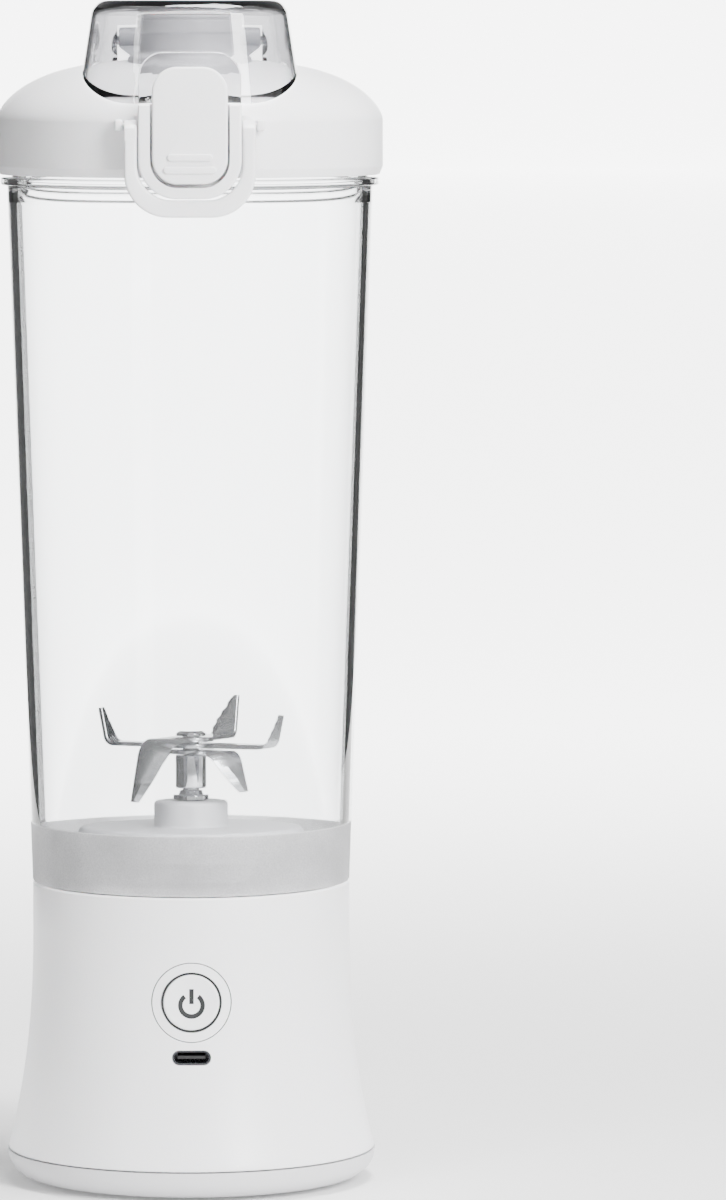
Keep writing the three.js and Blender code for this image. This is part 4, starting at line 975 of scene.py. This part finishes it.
@dataclass
class Lid(Assembly):
    """The domed lid with its front boss, spout and hinge bracket.

    Attributes:
        radius: Outer radius.
        shoulder_z: Height where the dome starts.
        dome_h: Height of the dome.
        hinge: The rear pin's y and z.
    """

    radius: float = 46.4
    shoulder_z: float = 255.8
    dome_h: float = 14.4
    hinge: Point2 = (30.0, 274.5)

    def dome(self, inset: float, steps: int = 40) -> list[Point2]:
        """Return the dome's profile from its rim to the axis.

        Args:
            inset: How far the surface is moved in.
            steps: How many points before the axis.

        Returns:
            Radius and height of each point, in mm.
        """
        points = []
        for i in range(steps):
            r = (self.radius - inset) * math.cos(math.pi / 2 * (i / steps) ** 1.25)
            share = max(0.0, 1 - (r / (self.radius - inset)) ** 3.3) ** (1 / 1.6)
            points.append((r, self.shoulder_z + (self.dome_h - inset) * share))
        return points + [(0, self.shoulder_z + self.dome_h - inset)]

    def under_dome(self, clearance: float) -> Obj:
        """Make a tool that fills everything under the dome."""
        reach = self.radius + clearance
        return Mesher.lathe("dome_tool", [(0, 200), (reach, 200), *self.dome(-clearance)], Slot.SHELL, 128)

    def body(self) -> None:
        """Make the lid's shell and its boss."""
        skirt = [
            (43.7, 254.4, 0.6), (43.7, 242.8, 0.2), (45.6, 242.8, 0.2), (46.4, 244.8, 1.2), (46.4, 255.8, 0),
        ]
        outer = filleted(skirt, 5, False) + self.dome(0)[1:]
        inner = list(reversed(self.dome(2.4, 24)))
        shell = Mesher.lathe("lid_look", outer + inner, Slot.SHELL, 192)
        boss = Mesher.plate("lid_boss", pill(12.1, 238, 260.1, 9.1, 0, 14), -50.6, -41, Slot.SHELL, 0.55)
        well = Mesher.plate("well_tool", pill(9.35, 240.6, FAR, 6.5, 0, 14), -FAR, -46.6, Slot.SHELL)
        skirt_tool = Mesher.lathe("skirt_tool", rod(46.2, 0, 242.8), Slot.SHELL, 128)
        room = Mesher.lathe("room_tool", rod(44.7, 200, 256.4), Slot.SHELL, 128)
        over = Mesher.block("over_tool", (-FAR, -43.9, 258.1), (FAR, FAR, FAR), Slot.SHELL)
        Carver.cut(boss, well, skirt_tool, room, over)
        pockets = [
            Mesher.block("pocket_tool", (low, -48, 253), (low + 3.65, -44, 257.4), Slot.SHELL)
            for low in (12.1, -15.75)
        ]
        hole = Mesher.lathe("hole_tool", rod(10.85, 200, FAR), Slot.SHELL, 96, SPOUT_AT)
        Carver.join(shell, boss)
        Carver.cut(shell, *pockets, hole)
        self.add(shell, Body.LID, Slot.SHELL, "lid_body")
        for word, side in (("left", -1), ("right", 1)):
            for name, ends, front, back, bevel in (
                (f"button_ear_{word}", (6.5, 8.4), (-47.8, 256), (-44.9, 262.5), 0.2),
                (f"loop_lug_{word}", (15.75, 17.6), (-47.2, 253.85), (-41.5, 256.55), 0.5),
            ):
                low, high = sorted(side * x for x in ends)
                made = Mesher.block(name, (low, *front), (high, *back), Slot.SHELL, bevel)
                self.add(made, Body.LID, Slot.SHELL)

    def spout(self) -> None:
        """Turn the drinking spout with its rolled lip."""
        profile = [
            (9.6, 264.5, 0.2), (10.5, 264.5, 0.2), (10.5, 267, 0), (15, 267, 0), (15, 270.8, 0.8),
            (12.2, 272, 1.2), (12.2, 276.2, 0.3), (12.6, 276.8, 0.3), (12.6, 279.4, 0.2),
            (12.25, 279.8, 0.2), (12.6, 280.2, 0.2), (12.6, 281.5, 0.7), (9.6, 281.5, 0.7),
        ]
        made = Mesher.lathe("spout_look", filleted(profile, 5), Slot.SEAT, 128, SPOUT_AT)
        self.add(made, Body.LID, Slot.SEAT, "spout")

    def bracket(self) -> None:
        """Make the hinge bracket: a wide knuckle on a narrower, raked foot."""
        y, z = self.hinge
        outline = [
            (-14, 262, 0), (14, 262, 0), (14, 270, 1.2), (18.7, 273, 0.8), (18.7, 279, 0), (-18.7, 279, 0),
            (-18.7, 273, 0.8), (-14, 270, 1.2),
        ]
        foot = Mesher.plate("hinge_bracket_look", filleted(outline, 5), 21.5, 40, Slot.GREY)
        side = [(21.5, 262, 0), (31, 262, 0), (31, z, 0), (26.5, 273, 1), (21.5, 270.5, 0.5)]
        rake = Mesher.plate("rake_tool", filleted(side), -18.7, 18.7, Slot.GREY)
        Mesher.laid(rake, SIDEWAYS)
        roll = filleted([(0, -18.7, 0), (3.2, -18.7, 0.5), (3.2, 18.7, 0.5), (0, 18.7, 0)])
        knuckle = Mesher.lathe("knuckle_tool", roll, Slot.GREY, 64)
        Mesher.laid(knuckle, ALONG_X, (0, y, z))
        Carver.join(rake, knuckle)
        Carver.apply(foot, [rake], "INTERSECT")
        room = Mesher.lathe("spring_tool", rod(3.6, -4.6, 4.6), Slot.GREY, 64)
        Mesher.laid(room, ALONG_X, (0, y, z))
        Carver.cut(foot, self.under_dome(0.1), room)
        self.add(foot, Body.LID, Slot.GREY, "hinge_bracket")

    def build(self) -> list[Piece]:
        """Make the lid's pieces and return them."""
        self.body()
        self.spout()
        self.bracket()
        return self.pieces


@dataclass
class FlipCap(Assembly):
    """The smoke-tinted cap, drawn up from a rounded outline, with its silicone plug.

    Attributes:
        half_w: Half the width at base_z.
        base_z: Height that the outline is drawn at.
        top_z: Top of the cap.
        wall: Thickness of the skirt.
        roof: Thickness of the top.
        taper: Share by which the outline shrinks for each mm of height.
    """

    half_w: float = 26.4
    base_z: float = 262.0
    top_z: float = 284.4
    wall: float = 1.2
    roof: float = 1.8
    taper: float = 0.0058

    def outline(self, inset: float, steps: int = 36) -> list[Point2]:
        """Return the plan outline, moved in: blunt in front, squarer behind."""
        points = []
        for centre, reach, power, start in ((10.0, 24.0, 4.0, 0), (-18.0, 25.6, 2.8, 180)):
            for i in range(steps):
                a = math.radians(start + 180 * i / steps)
                cos, sin = math.cos(a), math.sin(a)
                points.append(
                    (
                        (self.half_w - inset) * math.copysign(abs(cos) ** (2 / power), cos),
                        centre + (reach - inset) * math.copysign(abs(sin) ** (2 / power), sin),
                    )
                )
        return points

    def volume(self, name: str, inset: float, top_z: float, edge: float) -> Obj:
        """Make a closed volume: the outline drawn up with a taper and a rounded top edge."""
        rings = [(inset, 252 + (top_z - edge - 252) * i / 6) for i in range(7)]
        rings += [
            (inset + edge * (1 - math.cos(math.radians(a))), top_z - edge + edge * math.sin(math.radians(a)))
            for a in range(10, 91, 10)
        ]
        bm = bmesh.new()
        rows = []
        for shift, z in rings:
            scale = 1 - self.taper * (z - self.base_z)
            rows.append([bm.verts.new((x * scale, y * scale, z)) for x, y in self.outline(shift)])
        for one, two in zip(rows, rows[1:]):
            for k in range(len(one)):
                j = (k + 1) % len(one)
                bm.faces.new((one[k], one[j], two[j], two[k]))
        bm.faces.new(list(reversed(rows[0])))
        bm.faces.new(rows[-1])
        return Mesher.finish(name, bm, Slot.SMOKE)

    def build(self, lid: Lid) -> list[Piece]:
        """Make the cap and its plug and return them.

        Args:
            lid: The lid, whose dome trims the cap's skirt.

        Returns:
            The cap's pieces.
        """
        y, z = lid.hinge

        def room() -> Obj:
            return self.volume("room_tool", self.wall, self.top_z - self.roof, 2.0)

        shell = Carver.cut(self.volume("flip_cap_look", 0, self.top_z, 3.4), room())
        arch = Mesher.plate("arch", pill(12, 260.4, 272.4, 0, 9, 14), -50.4, -40, Slot.SMOKE, 0.4)
        Carver.cut(arch, room())
        tunnel = Mesher.plate("tunnel_tool", pill(10, 0, 269.9, 0, 7, 14), -FAR, -44.2, Slot.SMOKE)
        ledge = Mesher.block("ledge", (-4, -44.85, 264.4), (4, -42.5, 265.4), Slot.SMOKE)
        ears = []
        for low, high in ((-24, -19), (19, 24)):
            ear = Mesher.lathe("ear", rod(4, low, high), Slot.SMOKE, 48)
            Mesher.laid(ear, ALONG_X, (0, y, z))
            ears.append(Carver.apply(ear, [self.volume("ear_tool", 0.2, self.top_z, 3.4)], "INTERSECT"))
        Carver.join(shell, arch)
        Carver.cut(shell, tunnel)
        Carver.join(shell, ledge, *ears)
        pin = Mesher.lathe("pin_tool", rod(1.3, -20.4, 20.4), Slot.SMOKE, 40)
        Mesher.laid(pin, ALONG_X, (0, y, z))
        Carver.cut(
            shell,
            lid.under_dome(0.45),
            Mesher.block("rear_tool", (-FAR, 29, 0), (FAR, FAR, 270.4), Slot.SMOKE),
            Mesher.block("skirt_tool", (-FAR, -FAR, 0), (FAR, FAR, 260.2), Slot.SMOKE),
            Mesher.block("notch_tool", (-19, 26, 0), (19, FAR, 278.2), Slot.SMOKE),
            pin,
        )
        self.add(shell, Body.FLIP_CAP, Slot.SMOKE, "flip_cap")
        plug = [
            (8.7, 279.8, 0.3), (8.7, 281.8, 0), (12.2, 281.8, 0.1), (12.2, 282.3, 0.1), (6.8, 282.3, 0.1),
            (6.8, 279.8, 0.3),
        ]
        seal = Mesher.lathe("cap_seal_look", filleted(plug), Slot.SILICONE, 96, SPOUT_AT)
        self.add(seal, Body.FLIP_CAP, Slot.SILICONE, "cap_seal")
        return self.pieces


@dataclass
class FrontLatch(Assembly):
    """The pill-shaped release button and the U-shaped carry loop round it."""

    def button(self) -> None:
        """Make the release button with its two grip ribs, lugs and catch nose."""
        face = pill(8.85, 241.5, 268.9, 5.9, 5.9, 14)
        plate = Mesher.plate("release_button_look", face, -51.2, -49, Slot.SHELL, 0.6, 5)
        ribs = []
        for i, (z, half) in enumerate(((247.75, 5.3), (244.8, 6.2)), 1):
            ridge = pill(half, z - 0.85, z + 0.85, 0.84, 0.84, 8)
            ribs.append(Mesher.plate(f"grip_rib_{i}", ridge, -51.9, -50.6, Slot.SHELL, 0.4, 4))
        lugs = [
            Mesher.block("lug", (low, -49.5, 260.6), (low + 1.9, -46, 264.4), Slot.SHELL, 0.5)
            for low in (4.2, -6.1)
        ]
        nose = Mesher.block("nose", (-3, -49.5, 266), (3, -45.5, 266.9), Slot.SHELL, 0.2)
        Carver.join(plate, *ribs, *lugs, nose)
        self.add(plate, Body.RELEASE_KEY, Slot.SHELL, "release_button")

    def loop(self) -> None:
        """Make the carry loop: a U whose arms bend back to their pivot pins."""
        rings = []
        for outline in (pill(15.4, 233.7, 254.6, 12.4, 0, 20), pill(12.4, 237.7, 254.6, 8.6, 0, 20)):
            start = outline.index(min(outline, key=lambda p: (-p[1], p[0])))
            rings.append(outline[start:] + outline[:start])
        u = Mesher.plate("carry_loop_look", rings[0], -50.3, -47, Slot.SHELL, 0.7, 4, rings[1])
        arms = []
        for low in (12.4, -15.4):
            shoulder = [
                (-50.3, 251.6, 0), (-50.3, 254.6, 0.8), (-49.3, 255.5, 1.0), (-45.9, 256.6, 1.3),
                (-44.5, 255.2, 0.9), (-45.9, 253.8, 1.3), (-47, 251.6, 0.4),
            ]
            arm = Mesher.plate("arm", filleted(shoulder, 5), -low - 3, -low, Slot.SHELL, 0.35, 3)
            arms.append(Mesher.laid(arm, SIDEWAYS))
        for low, high in ((14.4, 17.3), (-17.3, -14.4)):
            pin = Mesher.lathe("pin", rod(0.55, low, high), Slot.SHELL, 32)
            arms.append(Mesher.laid(pin, ALONG_X, LOOP_PIVOT))
        Carver.join(u, *arms)
        self.add(u, Body.CARRY_LOOP, Slot.SHELL, "carry_loop")

    def build(self) -> list[Piece]:
        """Make the latch's pieces and return them."""
        self.button()
        self.loop()
        return self.pieces


# ---- studio


@dataclass(frozen=True)
class Softbox:
    """One soft light.

    Attributes:
        name: Light's name.
        at: Where it stands, in metres.
        size: Width and height, in metres.
        power: Watts.
        aim: What it points at, in metres.
    """

    name: str
    at: tuple[float, float, float]
    size: tuple[float, float]
    power: float
    aim: tuple[float, float, float] = (0.0, 0.0, 0.15)

    def build(self) -> None:
        """Add the light to the scene."""
        data = bpy.data.lights.new(self.name, "AREA")
        data.shape = "RECTANGLE"
        data.size, data.size_y = self.size
        data.energy = self.power
        made = bpy.data.objects.new(self.name, data)
        made.location = self.at
        made.rotation_euler = (Vector(self.aim) - Vector(self.at)).to_track_quat("-Z", "Y").to_euler()
        bpy.context.scene.collection.objects.link(made)


@dataclass(frozen=True)
class GlowingPaper(Finish):
    """Matte white paper, lit more strongly the farther it is behind the blender.

    Attributes:
        near: Distance where the light starts, in metres.
        far: Distance where it is full, in metres.
        glow: Least and greatest strength.
    """

    near: float = 0.1
    far: float = 1.2
    glow: tuple[float, float] = (0.15, 5.0)

    def surface(self, tree: Tree, shader: bpy.types.Node) -> None:
        """Wire the paper's grain and its glow."""
        super().surface(tree, shader)
        place = add_node(tree, "ShaderNodeTexCoord")
        reach = add_node(tree, "ShaderNodeSeparateXYZ", {0: place.outputs["Object"]})
        strength = add_node(
            tree,
            "ShaderNodeMapRange",
            {0: reach.outputs["Y"], 1: self.near, 2: self.far, 3: self.glow[0], 4: self.glow[1]},
            interpolation_type="SMOOTHSTEP",
        )
        shader.inputs["Emission Color"].default_value = (1.0, 1.0, 1.0, 1.0)
        tree.links.new(strength.outputs[0], shader.inputs["Emission Strength"])


@dataclass
class Studio:
    """The pale sweep, the soft lights, the black flags beside the cup and the camera.

    Attributes:
        lights: The soft lights.
        eye: Where the camera stands, in metres.
        target: What it looks at, in metres.
        lens: Its focal length, in mm.
        fill: Strength of the light from all round.
        drop: How far the floor lies below the foot pad, in mm.
        flags_at: Name, place across, and front and back end of each flag, in mm.
        flag_z: Lower and upper edge of the flags, in mm.
        flag_half: Half their thickness, in mm.
    """

    lights: tuple[Softbox, ...] = (
        Softbox("key_right", (0.75, -1.1, 0.75), (0.35, 0.9), 50),
        Softbox("strip_left", (-0.7, -0.9, 0.6), (0.12, 0.8), 5),
        Softbox("top", (0.15, -0.1, 1.25), (0.4, 0.4), 30),
    )
    eye: tuple[float, float, float] = (0.0, -1.794, 0.2837)
    target: tuple[float, float, float] = (0.0416, 0.0, 0.1400)
    lens: float = 223.6
    fill: float = 0.4
    drop: float = 0.3
    flags_at: tuple[tuple[str, float, float, float], ...] = (
        ("flag_left", -210, -420, 760), ("flag_right", 270, 20, 760),
    )
    flag_z: tuple[float, float] = (40, 420)
    flag_half: float = 2

    def sweep(self) -> None:
        """Turn the round white sweep: a flat floor that curves up into a wall."""
        flat, bend, top = 11000, 1000, 2400
        curve = [
            (flat + bend * math.sin(math.radians(a)), bend - bend * math.cos(math.radians(a)) - self.drop)
            for a in range(0, 91, 5)
        ]
        profile = [*[(flat * i / 12, -self.drop) for i in range(12)], *curve, (flat + bend, top)]
        outside = [(flat + bend + 100, top), (flat + bend + 100, -100), (0, -100)]
        made = Mesher.lathe("sweep", profile + outside, Slot.SHELL, 96)
        paper = GlowingPaper("matte_white_paper", "#ebebeb", "#e7e7e7", (0.85, 0.95), 1.2, 0.004)
        made.data.materials[0] = PALETTE.of(paper)

    def flags(self) -> None:
        """Stand a black flag on each side, out of sight, so that the clear walls get dark edges."""
        felt = Finish("black_felt", "#0c0c0d", "#060607", (0.9, 1.0), 0.8, 0.05)
        low_z, high_z = self.flag_z
        for name, x, low, high in self.flags_at:
            ends = (x - self.flag_half, low, low_z), (x + self.flag_half, high, high_z)
            made = Mesher.block(name, *ends, Slot.DARK)
            made.data.materials[0] = PALETTE.of(felt)
            made.visible_camera = made.visible_shadow = False

    def surround(self) -> None:
        """Fill in dimly from above the sweep."""
        world = bpy.data.worlds.new("white_surround")
        world.use_nodes = True
        world.node_tree.nodes["Background"].inputs[0].default_value = (1.0, 1.0, 1.0, 1.0)
        world.node_tree.nodes["Background"].inputs[1].default_value = self.fill
        bpy.context.scene.world = world

    def camera(self) -> None:
        """Stand the camera in front, level with the lid, with a long lens."""
        data = bpy.data.cameras.new("camera")
        data.lens = self.lens
        data.sensor_width = 36
        data.dof.use_dof = False
        data.clip_end = 50
        made = bpy.data.objects.new("camera", data)
        made.location = self.eye
        made.rotation_euler = (Vector(self.target) - Vector(self.eye)).to_track_quat("-Z", "Y").to_euler()
        bpy.context.scene.collection.objects.link(made)
        bpy.context.scene.camera = made

    def build(self) -> None:
        """Set up the whole studio."""
        self.sweep()
        self.flags()
        self.surround()
        for light in self.lights:
            light.build()
        self.camera()


# deep-drawn steel, darkened all over as painted shade for the shadowed recess of the charging port
SPECIAL = {"usb_c_shell": Finish("port_steel_painted_shade", "#4c4d50", "#3c3d40", (0.2, 0.32), 0.4, 0.002, metallic=1.0)}


def dress_frame(shown: set[str]) -> None:
    """Give every CAD node that is still shown its procedural finish.

    Args:
        shown: Names of the nodes that no piece stands for.
    """
    slots = {row["node"]: row["material_slot"] for row in frame["record"]["subparts"]}
    for name in sorted(shown):
        node = frame["nodes"][name]
        node.data.materials.clear()
        finish = SPECIAL.get(name)
        node.data.materials.append(PALETTE.of(finish) if finish else PALETTE.slot(Slot(slots[name])))
        Mesher.shade(node, 40)


def main() -> None:
    """Build the blender's looks, dress the frame and set the studio."""
    logging.basicConfig(level=logging.INFO, format="%(message)s")
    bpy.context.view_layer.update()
    lid = Lid()
    groups: list[list[Piece]] = [
        MotorBase().build(),
        BladeSeat().build(),
        Rotor().build(),
        ClearCup().build(),
        lid.build(),
        FlipCap().build(lid),
        FrontLatch().build(),
    ]
    replaced: set[str] = set()
    for group in groups:
        for piece in group:
            piece.place()
            replaced.update(piece.stands_for)
    dress_frame(set(frame["nodes"]) - replaced)
    Studio().build()


if __name__ == "__main__":
    main()
